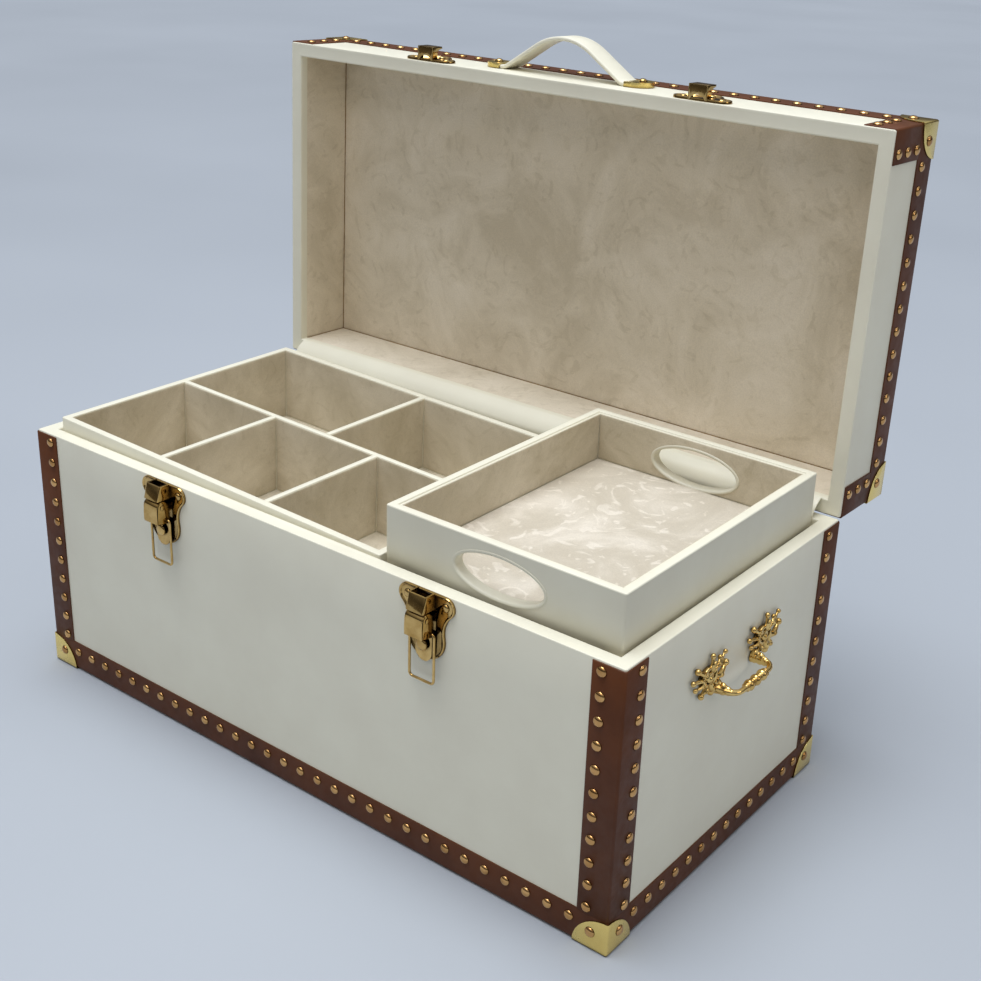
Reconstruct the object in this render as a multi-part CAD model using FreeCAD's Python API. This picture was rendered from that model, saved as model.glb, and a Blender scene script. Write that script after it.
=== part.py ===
"""Leather covered trunk with a lift-out tray, a divided insert, draw latches and studded edges.

Millimetres. +Z is up, the front faces -Y, and the origin is the middle of the underside.
The lid is drawn shut and then swung open about its hinge pins, to the pose it rests in.
"""
import FreeCAD, Part
import math
import os

V = FreeCAD.Vector

# Body
body_width = 598.0
body_depth = 296.0
base_height = 223.0
lid_height = 71.3
rim_gap = 1.0
panel_thickness = 9.5
leather_thickness = 1.2
lining_thickness = 1.3
rim_return = 8.0
floor_thickness = 9.0
body_edge_chamfer = 0.8
lid_open_angle = 91.6
overrun = 20.0
chord_angle = 24.0

# Leather edge trims and their brass corner caps
trim_width = 26.0
trim_height = 26.5
trim_thickness = 1.0
trim_end_gap = 1.5
cap_thickness = 1.0
cap_length = 29.0
cap_height = 27.0
cap_corner_chamfer = 0.8
cap_corner_cut_share = 0.37

# Decorative nails
nail_radius = 4.0
nail_rise = 2.2
nail_sides = 6
nail_inset = 18.5
nail_row_height = 18.4
row_end_inset = 32.0
long_row_count = 30
short_row_count = 14
post_row_first = 32.2
post_row_last = 215.5
post_row_count = 11
lid_post_first = 8.2
lid_post_last = 40.2
lid_post_count = 3
cap_nail_inset = 14.5

# Back hinges
hinge_offset = 0.4
hinge_spread = 360.0
hinge_length = 54.0
hinge_leaf_height = 22.0
hinge_leaf_thickness = 1.2
knuckle_radius = 2.4
knuckle_gap = 0.3
knuckle_count = 3
knuckle_sides = 8
hinge_pin_radius = 1.1
running_clearance = 0.05
notch_clearance = 0.35

# Lined wells of the base
partition_thickness = 10.0
bearer_width = 12.0
bearer_height = 14.0

# Lift-out tray
tray_width = 202.0
tray_depth = 260.0
tray_height = 49.0
tray_side_gap = 1.5
tray_front_gap = 3.8
tray_wall = 7.8
tray_lining = 1.2
tray_floor_thickness = 7.8
tray_rise = 42.0
hand_hole_width = 78.0
hand_hole_height = 32.0
hand_hole_centre = 24.8
hand_hole_sides = 24

# Divided insert
insert_tray_gap = 5.8
insert_depth = 260.0
insert_height = 74.0
insert_side_gap = 1.2
insert_front_gap = 1.5
insert_wall = 5.0
insert_lining = 1.0
insert_floor_thickness = 5.0
insert_right_rise = 1.5
insert_left_rise = 11.0
insert_front_cells = 3
insert_back_cells = 2

# Gusset strip across the hinge line
gusset_thickness = 1.0
gusset_tail = 6.4
gusset_clearance = 0.3
gusset_end_gap = 4.0

# Draw latches
latch_spread = 273.4
plate_top_gap = 0.4
plate_thickness = 1.2
plate_rim_height = 2.3
plate_rim_width = 1.8
plate_length = 53.0
lobe_radius = 8.0
lobe_spread = 34.0
plate_foot_radius = 17.0
plate_waist_radius = 20.0
lever_width = 16.0
lever_wall = 1.0
housing_top_depth = 11.4
housing_foot_depth = 14.7
housing_length = 12.2
ear_gap = 0.2
ear_wall = 1.3
ear_round = 3.8
lever_pin_depth = 9.9
lever_pin_drop = 18.0
lever_pin_radius = 1.3
lever_pin_head_radius = 2.0
lever_pin_head = 0.7
lever_round = 5.0
lever_front_depth = 15.3
lever_front_length = 19.0
lever_back_depth = 2.8
lever_cheek_length = 21.0
tongue_length = 42.0
tongue_half_width = 7.4
tongue_thickness = 1.2
tongue_end_sides = 12
knob_radius = 4.9
knob_rise = 3.8
knob_drop = 22.2
bail_wire_radius = 1.0
bail_pin_depth = 5.8
bail_pin_drop = 29.7
bail_half_width = 11.1
bail_length = 39.0
bail_bend_radius = 2.4
bail_corner_radius = 3.0
bail_hook_reach = 1.0
wire_sides = 8
rivet_radius = 3.2
rivet_rise = 1.8
round_head_sides = 8
round_head_shares = [(1.0, 0.0), (0.82, 0.55), (0.38, 1.0)]

# Lid catches
catch_plate_gap = 0.8
catch_plate_length = 30.0
catch_top_radius = 11.0
catch_waist_radius = 14.0
catch_hook_width = 17.0
catch_hook_depth = 12.5
catch_hook_gap = 0.6
catch_shelf_length = 6.3
catch_lip_length = 12.6
catch_lip_root = 3.4
catch_lip_tip = 1.7
catch_wall = 1.2

# Strap handle on the lid
strap_centre_height = 32.2
strap_centre_shift = -6.5
strap_width = 23.6
strap_thickness = 3.4
strap_rise = 29.0
strap_crown_radius = 50.0
strap_foot_radius = 12.0
strap_flank_angle = 33.0
strap_half_length = 71.0
strap_mouth = 63.5
strap_plate_length = 19.0
strap_plate_width = 26.4
strap_plate_height = 4.4
stud_radius = 3.6
stud_rise = 2.6
stud_inset = 9.0

# Cast side handles
handle_centre_height = 172.0
handle_centre_shift = -3.0
rosette_spacing = 79.0
rosette_length = 49.0
rosette_height = 32.0
rosette_thickness = 2.4
rosette_rise = 4.4
lobe_bevel = 2.4
leaf_core_share = 0.31
leaf_points_count = 54
boss_radius = 7.0
boss_rise = 8.0
boss_tiers = [(1.0, 0.0), (1.0, 0.55), (0.7, 0.85), (0.25, 1.0)]
boss_sides = 10
bow_spacing = 55.0
bow_reach = 18.7
bow_droop_angle = 2.0
bow_radius = 2.7
bow_bend_radius = 8.0
bow_drop = 13.5
bead_radius = 4.3
bead_length = 8.4
bead_spacing = 9.0
root_radius = 5.0
root_length = 7.0
handle_post_width = 5.0
rosette_lobe_shares = [
    (-0.20, 0.33, 0.115),
    (0.02, 0.38, 0.100),
    (0.24, 0.31, 0.115),
    (0.40, 0.10, 0.095),
    (0.36, -0.17, 0.100),
    (0.14, -0.34, 0.105),
    (-0.10, -0.34, 0.100),
    (-0.31, -0.20, 0.105),
    (-0.41, 0.08, 0.090),
]

# Sizes that follow from the ones above
rim_width = panel_thickness + leather_thickness + lining_thickness
half_width = body_width / 2
half_depth = body_depth / 2
shell_x = half_width - leather_thickness
shell_y = half_depth - leather_thickness
inner_x = shell_x - panel_thickness
inner_y = shell_y - panel_thickness
mouth_x = half_width - rim_width
mouth_y = half_depth - rim_width
body_bottom = cap_thickness + trim_thickness
well_floor = body_bottom + floor_thickness + lining_thickness
lid_rim = base_height + rim_gap
lid_top = lid_rim + lid_height
lid_ceiling = lid_top - leather_thickness - floor_thickness - lining_thickness
trim_x = half_width + trim_thickness
trim_y = half_depth + trim_thickness
cap_x = trim_x + cap_thickness
cap_y = trim_y + cap_thickness
trim_edge_chamfer = body_edge_chamfer + trim_thickness * (2 - math.sqrt(2))
hinge_y = half_depth + hinge_offset
hinge_z = base_height + rim_gap / 2
long_row_end = trim_x - row_end_inset
short_row_end = trim_y - row_end_inset
tray_top = base_height + tray_rise
tray_bottom = tray_top - tray_height
tray_right = mouth_x - tray_side_gap
tray_left = tray_right - tray_width
tray_front = -mouth_y + tray_front_gap
tray_back = tray_front + tray_depth
insert_left = -mouth_x + insert_side_gap
insert_right = tray_left - insert_tray_gap
insert_width = insert_right - insert_left
insert_front = -mouth_y + insert_front_gap
insert_back = insert_front + insert_depth
insert_top = base_height + insert_right_rise
insert_bottom = insert_top - insert_height
insert_divider = insert_wall + 2 * insert_lining
insert_tilt = math.degrees(math.asin((insert_left_rise - insert_right_rise) / insert_width))
latch_top = base_height - plate_top_gap
lever_pin_height = base_height - lever_pin_drop
bail_pin_height = base_height - bail_pin_drop
strap_centre = lid_rim + strap_centre_height


def block(x_low, x_high, y_low, y_high, z_low, z_high):
    """Rectangular solid between two corners."""
    return Part.makeBox(x_high - x_low, y_high - y_low, z_high - z_low, V(x_low, y_low, z_low))


def centred_block(half_x, half_y, z_low, z_high):
    """Rectangular solid round the vertical axis."""
    return block(-half_x, half_x, -half_y, half_y, z_low, z_high)


def chamfered_block(half_x, half_y, z_low, z_high, chamfer):
    """Rectangular solid round the vertical axis, with its upright edges chamfered."""
    solid = centred_block(half_x, half_y, z_low, z_high)
    upright = [e for e in solid.Edges if abs(e.tangentAt(e.FirstParameter).z) > 0.9]
    return solid.makeChamfer(chamfer, upright)


def fused(shapes):
    """All the shapes joined into one, without seams."""
    whole = shapes[0]
    if len(shapes) > 1:
        whole = shapes[0].multiFuse(shapes[1:])
    return whole.removeSplitter()


def moved(shape, offset):
    """A copy of the shape, shifted."""
    placed = shape.copy()
    placed.translate(offset)
    return placed


def turned(shape, centre, axis, angle):
    """A copy of the shape, turned about a line, with the turn worked into its geometry."""
    placement = FreeCAD.Placement(V(0, 0, 0), FreeCAD.Rotation(axis, angle), centre)
    return shape.transformed(placement.toMatrix(), copy=True)


def mirrored(shape, normal):
    """A copy of the shape on the other side of a plane through the origin."""
    return shape.mirror(V(0, 0, 0), normal)


def line(start, end):
    """Straight edge."""
    return Part.makeLine(start, end)


def arc(start, middle, end):
    """Circular edge through three points."""
    return Part.Arc(start, middle, end).toShape()


def chorded(edges):
    """The same outline with every arc drawn as a few straight chords."""
    chords = []
    for edge in edges:
        if edge.Curve.TypeId == "Part::GeomLine":
            chords.append(edge)
            continue
        count = max(1, round(edge.Length / edge.Curve.Radius / math.radians(chord_angle)))
        points = edge.discretize(Number=count + 1)
        chords += [line(a, b) for a, b in zip(points, points[1:])]
    return chords


def extruded(edges, offset):
    """Solid made by pushing a closed outline along a vector."""
    wire = Part.Wire(Part.__sortEdges__(edges))
    return Part.Face(wire).extrude(offset)


def disc(centre, axis, radius, length):
    """Round bar from a point along an axis."""
    return Part.makeCylinder(radius, length, centre, axis)


def stacked(rings):
    """Solid of flat facets through a stack of closed rings. A last ring of one point is a tip."""
    faces = [Part.Face(Part.makePolygon(rings[0] + rings[0][:1]))]
    for lower, upper in zip(rings, rings[1:]):
        count = len(lower)
        for step in range(count):
            after = (step + 1) % count
            if len(upper) == 1:
                faces.append(Part.Face(Part.makePolygon([lower[step], lower[after], upper[0], lower[step]])))
                continue
            faces.append(Part.Face(Part.makePolygon([lower[step], lower[after], upper[after], lower[step]])))
            faces.append(Part.Face(Part.makePolygon([lower[step], upper[after], upper[step], lower[step]])))
    if len(rings[-1]) > 1:
        faces.append(Part.Face(Part.makePolygon(rings[-1] + rings[-1][:1])))
    solid = Part.makeSolid(Part.makeShell(faces))
    if solid.Volume < 0:
        solid.reverse()
    return solid


def faceted(centre, axis, tiers, sides):
    """Round form of flat facets on an axis. Each tier is a radius and its height; a last radius of 0 is a tip."""
    turn = FreeCAD.Placement(centre, FreeCAD.Rotation(V(0, 0, 1), axis))
    rings = []
    for radius, height in tiers:
        ring = []
        for step in range(sides if radius > 0 else 1):
            angle = 2 * math.pi * step / sides
            ring.append(turn.multVec(V(radius * math.cos(angle), radius * math.sin(angle), height)))
        rings.append(ring)
    return stacked(rings)


def round_head(centre, axis, radius, rise):
    """Rounded head of a rivet or stud, on a flat face."""
    tiers = [(radius * radius_share, rise * rise_share) for radius_share, rise_share in round_head_shares]
    return faceted(centre, axis, tiers, round_head_sides)


def polygon_ring(centre, axis, radius, sides):
    """Closed polygon round a point."""
    turn = FreeCAD.Placement(centre, FreeCAD.Rotation(V(0, 0, 1), axis))
    points = []
    for step in range(sides + 1):
        angle = 2 * math.pi * (step % sides + 0.5) / sides
        points.append(turn.multVec(V(radius * math.cos(angle), radius * math.sin(angle), 0)))
    return Part.makePolygon(points)


def wire_bar(points, radius):
    """Bar of polygon section along a path of straight runs, mitred where they meet."""
    ring = polygon_ring(points[0], points[1] - points[0], radius, wire_sides)
    return Part.makePolygon(points).makePipeShell([ring], True, False, 1)


def opened(shape):
    """A lid piece swung from shut to the pose that the lid rests in."""
    return turned(shape, V(0, hinge_y, hinge_z), V(1, 0, 0), -lid_open_angle)


def save(name, shapes):
    """Write one node, as one solid or as a group of separate ones."""
    solids = []
    for shape in shapes if isinstance(shapes, list) else [shapes]:
        solids += shape.Solids
    whole = solids[0] if len(solids) == 1 else Part.makeCompound(solids)
    whole.exportStep("parts/" + name + ".step")
    print(name, len(solids), "solid(s)", round(whole.Volume), "mm3")


def save_lid(name, shapes):
    """Write one node of the lid, in the lid's open pose."""
    shapes = shapes if isinstance(shapes, list) else [shapes]
    save(name, [opened(shape) for shape in shapes])


# Carcasses, their leather and their lining
def wall_panels(z_low, z_high):
    """Four wooden walls: front and back run through, the ends fit between them."""
    return {
        "front": block(-shell_x, shell_x, -shell_y, -inner_y, z_low, z_high),
        "back": block(-shell_x, shell_x, inner_y, shell_y, z_low, z_high),
        "left": block(-shell_x, -inner_x, -inner_y, inner_y, z_low, z_high),
        "right": block(inner_x, shell_x, -inner_y, inner_y, z_low, z_high),
    }


def hinge_notches():
    """Round grooves that leave room for the hinge knuckles in both rims."""
    notches = []
    for side in (-1, 1):
        start = side * hinge_spread / 2 - hinge_length / 2 - notch_clearance
        length = hinge_length + 2 * notch_clearance
        notches.append(disc(V(start, hinge_y, hinge_z), V(1, 0, 0), knuckle_radius + notch_clearance, length))
    return notches


def handle_posts(clearance, reach):
    """Square bars through the end walls, where the side handles' cast posts go."""
    posts = []
    half = handle_post_width / 2 + clearance
    for side in (-1, 1):
        for end in (-1, 1):
            y = handle_centre_shift + end * rosette_spacing / 2
            near = side * (inner_x - reach)
            far = side * (half_width + reach)
            posts.append(block(min(near, far), max(near, far), y - half, y + half,
                               handle_centre_height - half, handle_centre_height + half))
    return posts


def base_cover():
    """White leather over the base: outside faces, over the rim and a little way down inside."""
    skin = chamfered_block(half_width, half_depth, body_bottom, base_height, body_edge_chamfer)
    skin = skin.cut(centred_block(shell_x, shell_y, body_bottom, base_height - leather_thickness))
    turn_in = centred_block(inner_x, inner_y, base_height - rim_return, base_height - leather_thickness)
    skin = skin.fuse(turn_in).cut(centred_block(mouth_x, mouth_y, body_bottom, base_height))
    return skin.cut(hinge_notches() + handle_posts(running_clearance, overrun))


def base_lining():
    """Suede on the walls and floor of the base, up to the turned-in leather."""
    bottom = body_bottom + floor_thickness
    outside = centred_block(inner_x, inner_y, bottom, base_height - rim_return)
    return outside.cut(centred_block(mouth_x, mouth_y, well_floor, base_height))


def lid_cover():
    """White leather over the lid: walls, top, over the rim and a little way up inside."""
    skin = chamfered_block(half_width, half_depth, lid_rim, lid_top, body_edge_chamfer)
    skin = skin.cut(centred_block(shell_x, shell_y, lid_rim + leather_thickness, lid_top - leather_thickness))
    turn_in = centred_block(inner_x, inner_y, lid_rim + leather_thickness, lid_rim + rim_return)
    skin = skin.fuse(turn_in).cut(centred_block(mouth_x, mouth_y, lid_rim, lid_rim + rim_return))
    return skin.cut(hinge_notches())


def lid_lining():
    """Suede on the walls and ceiling of the lid."""
    ceiling = lid_ceiling + lining_thickness
    outside = centred_block(inner_x, inner_y, lid_rim + rim_return, ceiling)
    return outside.cut(centred_block(mouth_x, mouth_y, lid_rim, lid_ceiling))


def make_carcasses():
    """Wooden panels, leather covers and linings of base and lid."""
    post_holes = handle_posts(running_clearance, overrun)
    notches = hinge_notches()
    for place, panel in wall_panels(body_bottom, base_height - leather_thickness).items():
        save("base_" + place + "_panel", panel.cut(notches + post_holes))
    save("base_bottom_panel", centred_block(inner_x, inner_y, body_bottom, body_bottom + floor_thickness))
    save("base_leather_cover", base_cover())
    save("base_lining", base_lining())
    save("base_underside_felt",
         centred_block(trim_x - trim_width, trim_y - trim_width, 0, body_bottom))
    for place, panel in wall_panels(lid_rim + leather_thickness, lid_top - leather_thickness).items():
        save_lid("lid_" + place + "_panel", panel.cut(notches))
    lid_board = lid_top - leather_thickness
    save_lid("lid_top_panel", centred_block(inner_x, inner_y, lid_board - floor_thickness, lid_board))
    save_lid("lid_leather_cover", lid_cover())
    save_lid("lid_lining", lid_lining())


# Edge trims
def corner_sleeve(z_low, z_high):
    """Thin leather sleeve round all four upright edges, before it is cut into corners."""
    sleeve = chamfered_block(trim_x, trim_y, z_low, z_high, trim_edge_chamfer)
    return sleeve.cut(chamfered_block(half_width, half_depth, z_low, z_high, body_edge_chamfer))


def corner_trims(z_low, z_high):
    """Four upright strips, each folded round one corner."""
    sleeve = corner_sleeve(z_low, z_high)
    strips = []
    for side_x in (-1, 1):
        for side_y in (-1, 1):
            near_x = side_x * (trim_x - trim_width)
            far_x = side_x * (trim_x + overrun)
            near_y = side_y * (trim_y - trim_width)
            far_y = side_y * (trim_y + overrun)
            corner = block(min(near_x, far_x), max(near_x, far_x), min(near_y, far_y), max(near_y, far_y),
                           z_low, z_high)
            strips.append(sleeve.common(corner))
    return strips


def edge_trims(wall_low, wall_high, flange_low, flange_high):
    """Four strips folded round the horizontal edges: a band on the walls and a flange on the flat face."""
    band_and_flange = corner_sleeve(wall_low, wall_high).fuse(
        chamfered_block(trim_x, trim_y, flange_low, flange_high, trim_edge_chamfer).cut(
            centred_block(trim_x - trim_width, trim_y - trim_width, flange_low, flange_high)))
    ring = band_and_flange.removeSplitter()
    low = min(wall_low, flange_low)
    high = max(wall_high, flange_high)
    run = trim_y - trim_width
    middle = block(-trim_x - overrun, trim_x + overrun, -run, run, low, high)
    ends = ring.common(middle)
    return ring.cut(middle).Solids + ends.Solids


def make_trims():
    """Brown leather strips on every edge of the base and the lid."""
    save("base_corner_trims", corner_trims(trim_height, base_height - trim_end_gap))
    save("base_bottom_trims", edge_trims(cap_thickness, trim_height, cap_thickness, body_bottom))
    band_low = lid_top + trim_thickness - trim_height
    save_lid("lid_corner_trims", corner_trims(lid_rim + trim_end_gap, band_low))
    save_lid("lid_top_trims", edge_trims(band_low, lid_top + trim_thickness, lid_top, lid_top + trim_thickness))


# Corner caps
def cap_flange():
    """One leaf of a corner cap: a quarter round standing on the X axis, with its tall side on the Z axis."""
    diagonal = math.sqrt(0.5)
    foot = V(cap_length, 0, 0)
    bend = V(cap_length * diagonal, 0, cap_height * diagonal)
    peak = V(0, 0, cap_height)
    edges = [line(V(0, 0, 0), foot), arc(foot, bend, peak), line(peak, V(0, 0, 0))]
    return extruded(chorded(edges), V(0, cap_thickness, 0))


def corner_cap():
    """Brass cap of three leaves, with its outer corner at the origin, reaching along +X, +Y and +Z."""
    front = cap_flange()
    side = turned(mirrored(front, V(0, 1, 0)), V(0, 0, 0), V(0, 0, 1), 90)
    bottom = block(0, cap_length, 0, cap_length, 0, cap_thickness)
    corner = [e for e in bottom.Edges if abs(e.tangentAt(e.FirstParameter).z) > 0.9
              and e.CenterOfMass.x > cap_thickness and e.CenterOfMass.y > cap_thickness]
    bottom = bottom.makeChamfer(cap_length * cap_corner_cut_share, corner)
    cap = fused([front, side, bottom])
    post = [e for e in cap.Edges if abs(e.tangentAt(e.FirstParameter).z) > 0.9
            and math.hypot(e.CenterOfMass.x, e.CenterOfMass.y) < cap_thickness / 2]
    return cap.makeChamfer(cap_corner_chamfer, post)


def four_caps():
    """Caps for the four bottom corners of the base."""
    caps = []
    placed = moved(corner_cap(), V(-cap_x, -cap_y, 0))
    for flip_x in (False, True):
        for flip_y in (False, True):
            cap = mirrored(placed, V(1, 0, 0)) if flip_x else placed
            caps.append(mirrored(cap, V(0, 1, 0)) if flip_y else cap)
    return caps


def make_caps():
    """Eight corner caps."""
    caps = four_caps()
    save("base_corner_caps", caps)
    lift = V(0, 0, lid_top + trim_thickness + cap_thickness)
    save_lid("lid_corner_caps", [moved(mirrored(cap, V(0, 0, 1)), lift) for cap in caps])


# Decorative nails
def facing(normal):
    """One low pointed nail head, facing along the normal."""
    return faceted(V(0, 0, 0), normal, [(nail_radius, 0), (0, nail_rise)], nail_sides)


nail_heads = {
    "front": facing(V(0, -1, 0)),
    "back": facing(V(0, 1, 0)),
    "left": facing(V(-1, 0, 0)),
    "right": facing(V(1, 0, 0)),
    "top": facing(V(0, 0, 1)),
}


def spaced(first, last, count):
    """Evenly spaced places from first to last."""
    return [first + (last - first) * step / (count - 1) for step in range(count)]


def band_nails(height):
    """One row of nails right round the walls, at a height."""
    nails = []
    for x in spaced(-long_row_end, long_row_end, long_row_count):
        nails.append(moved(nail_heads["front"], V(x, -trim_y, height)))
        nails.append(moved(nail_heads["back"], V(x, trim_y, height)))
    for y in spaced(-short_row_end, short_row_end, short_row_count):
        nails.append(moved(nail_heads["left"], V(-trim_x, y, height)))
        nails.append(moved(nail_heads["right"], V(trim_x, y, height)))
    return nails


def post_nails(heights):
    """Upright rows of nails on both faces of every corner trim."""
    nails = []
    for side in (-1, 1):
        x = side * (trim_x - nail_inset)
        y = side * (trim_y - nail_inset)
        for z in heights:
            nails.append(moved(nail_heads["front"], V(x, -trim_y, z)))
            nails.append(moved(nail_heads["back"], V(x, trim_y, z)))
            nails.append(moved(nail_heads["left"], V(-trim_x, y, z)))
            nails.append(moved(nail_heads["right"], V(trim_x, y, z)))
    return nails


def lid_face_nails():
    """One row of nails along each side of the lid's top face."""
    nails = []
    z = lid_top + trim_thickness
    for side in (-1, 1):
        for x in spaced(-long_row_end, long_row_end, long_row_count):
            nails.append(moved(nail_heads["top"], V(x, side * (trim_y - nail_inset), z)))
        for y in spaced(-short_row_end, short_row_end, short_row_count):
            nails.append(moved(nail_heads["top"], V(side * (trim_x - nail_inset), y, z)))
    return nails


def cap_nails(height):
    """One nail on each upright leaf of four corner caps."""
    nails = []
    for side in (-1, 1):
        x = side * (cap_x - cap_nail_inset)
        y = side * (cap_y - cap_nail_inset)
        nails.append(moved(nail_heads["front"], V(x, -cap_y, height)))
        nails.append(moved(nail_heads["back"], V(x, cap_y, height)))
        nails.append(moved(nail_heads["left"], V(-cap_x, y, height)))
        nails.append(moved(nail_heads["right"], V(cap_x, y, height)))
    return nails


def cap_face_nails(height):
    """One nail on the flat leaf of each lid cap."""
    inset = cap_nail_inset
    return [moved(nail_heads["top"], V(side_x * (cap_x - inset), side_y * (cap_y - inset), height))
            for side_x in (-1, 1) for side_y in (-1, 1)]


def make_nails():
    """All decorative nails, grouped by what they hold."""
    base_rows = band_nails(nail_row_height) + post_nails(spaced(post_row_first, post_row_last, post_row_count))
    save("base_trim_nails", base_rows)
    save("base_cap_nails", cap_nails(cap_nail_inset))
    lid_posts = spaced(lid_rim + lid_post_first, lid_rim + lid_post_last, lid_post_count)
    lid_rows = band_nails(lid_top + trim_thickness - nail_row_height) + post_nails(lid_posts)
    save_lid("lid_trim_nails", lid_rows + lid_face_nails())
    cap_top = lid_top + trim_thickness + cap_thickness
    save_lid("lid_cap_nails", cap_nails(cap_top - cap_nail_inset) + cap_face_nails(cap_top))


# Hinges
def knuckles(centre, places):
    """Barrel pieces of one hinge leaf, bored for the pin. Places are counted along the barrel."""
    pitch = hinge_length / knuckle_count
    start = centre - hinge_length / 2
    barrels = []
    for place in places:
        low = start + place * pitch + knuckle_gap / 2
        tiers = [(knuckle_radius, 0), (knuckle_radius, pitch - knuckle_gap)]
        barrels.append(faceted(V(low, hinge_y, hinge_z), V(1, 0, 0), tiers, knuckle_sides))
    return barrels


def hinge_leaf(centre, places, z_low, z_high):
    """One leaf on the back face, carrying its share of the barrel."""
    leaf = block(centre - hinge_length / 2, centre + hinge_length / 2, half_depth,
                 half_depth + hinge_leaf_thickness, z_low, z_high)
    reach = knuckle_radius + notch_clearance
    barrel_room = disc(V(centre - hinge_length, hinge_y, hinge_z), V(1, 0, 0), reach, 2 * hinge_length)
    body = leaf.cut(barrel_room)
    for barrel in knuckles(centre, places):
        low = barrel.BoundBox.XMin
        high = barrel.BoundBox.XMax
        tie = block(low, high, half_depth, half_depth + hinge_leaf_thickness,
                    min(z_low, hinge_z), max(z_high, hinge_z))
        body = body.fuse([barrel, tie])
    bore = disc(V(centre - hinge_length, hinge_y, hinge_z), V(1, 0, 0), hinge_pin_radius + running_clearance,
                2 * hinge_length)
    return body.cut(bore).removeSplitter()


def make_hinges():
    """Two surface hinges on the back, with their pins."""
    centres = [-hinge_spread / 2, hinge_spread / 2]
    save("hinge_base_leaves", [hinge_leaf(c, (0, 2), hinge_z - hinge_leaf_height, hinge_z) for c in centres])
    save_lid("hinge_lid_leaves", [hinge_leaf(c, (1,), hinge_z, hinge_z + hinge_leaf_height) for c in centres])
    save("hinge_pins", [disc(V(c - hinge_length / 2, hinge_y, hinge_z), V(1, 0, 0), hinge_pin_radius, hinge_length)
                        for c in centres])


# Gusset
def gusset():
    """Leather strip that closes the gap behind the open lid, with a tail tucked into the base."""
    lid_edge = opened(Part.Vertex(V(0, mouth_y, lid_rim))).Point
    rim_edge = V(0, mouth_y, base_height)
    rise = (lid_edge - rim_edge).normalize()
    normal = V(0, -rise.z, rise.y)
    near = rim_edge + normal * gusset_clearance + rise * gusset_clearance
    far = lid_edge + normal * gusset_clearance
    tail_y = mouth_y - gusset_clearance
    tail_z = base_height - gusset_tail
    outline = [
        V(0, tail_y, tail_z),
        V(0, tail_y, near.z),
        far,
        far + normal * gusset_thickness,
        V(0, tail_y - gusset_thickness, near.z + normal.z * gusset_thickness),
        V(0, tail_y - gusset_thickness, tail_z),
    ]
    face = Part.Face(Part.makePolygon(outline + outline[:1]))
    half_run = mouth_x - gusset_end_gap
    return moved(face.extrude(V(2 * half_run, 0, 0)), V(-half_run, 0, 0))


# Wells of the base
def insert_underside(x):
    """Height of the sloping insert's underside above a place along the trunk."""
    return insert_bottom + (insert_right - x) * math.tan(math.radians(insert_tilt))


def make_wells():
    """Partition between the two wells, and the strips that carry tray and insert."""
    partition_right = tray_left + partition_thickness
    save("well_partition", block(tray_left, partition_right, -mouth_y, mouth_y, well_floor, tray_bottom))
    left_seat = insert_underside(-mouth_x + bearer_width)
    save("insert_left_bearer",
         block(-mouth_x, -mouth_x + bearer_width, -mouth_y, mouth_y, left_seat - bearer_height, left_seat))
    save("insert_right_bearer",
         block(tray_left - bearer_width, tray_left, -mouth_y, mouth_y, insert_bottom - bearer_height,
               insert_bottom))
    save("tray_right_bearer",
         block(mouth_x - bearer_width, mouth_x, -mouth_y, mouth_y, tray_bottom - bearer_height, tray_bottom))


# Tray
def hand_hole(wall_outer, wall_inner):
    """Oval cut through one tray wall."""
    centre = V((tray_left + tray_right) / 2, min(wall_outer, wall_inner) - overrun,
               tray_bottom + hand_hole_centre)
    points = []
    for step in range(hand_hole_sides + 1):
        angle = 2 * math.pi * (step % hand_hole_sides) / hand_hole_sides
        reach = V(hand_hole_width / 2 * math.cos(angle), 0, hand_hole_height / 2 * math.sin(angle))
        points.append(centre + reach)
    face = Part.Face(Part.makePolygon(points))
    return face.extrude(V(0, abs(wall_outer - wall_inner) + 2 * overrun, 0))


def make_tray():
    """Leather covered tray with an oval hand hole in its front and back walls."""
    left = tray_left + tray_wall
    right = tray_right - tray_wall
    front = tray_front + tray_wall
    back = tray_back - tray_wall
    floor_top = tray_bottom + tray_floor_thickness
    front_hole = hand_hole(tray_front, front + tray_lining)
    back_hole = hand_hole(tray_back, back - tray_lining)
    save("tray_front_wall", block(tray_left, tray_right, tray_front, front, tray_bottom, tray_top).cut(front_hole))
    save("tray_back_wall", block(tray_left, tray_right, back, tray_back, tray_bottom, tray_top).cut(back_hole))
    save("tray_end_walls", [block(tray_left, left, front, back, tray_bottom, tray_top),
                            block(right, tray_right, front, back, tray_bottom, tray_top)])
    save("tray_floor", block(left, right, front, back, tray_bottom, floor_top))
    lining = block(left, right, front, back, floor_top, tray_top - tray_lining)
    hollow = block(left + tray_lining, right - tray_lining, front + tray_lining, back - tray_lining,
                   floor_top + tray_lining, tray_top)
    save("tray_lining", lining.cut([hollow, front_hole, back_hole]))


# Insert
def tilted(shape):
    """An insert piece sloped about the insert's lower right edge, as it rests on its bearers."""
    return turned(shape, V(insert_right, 0, insert_bottom), V(0, 1, 0), insert_tilt)


def cell_walls(low, high, count):
    """Places of the walls that split a run into equal cells: pairs of low and high faces."""
    cell = (high - low - (count - 1) * insert_divider) / count
    return [(low + step * (cell + insert_divider) - insert_divider, low + step * (cell + insert_divider))
            for step in range(1, count)]


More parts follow.
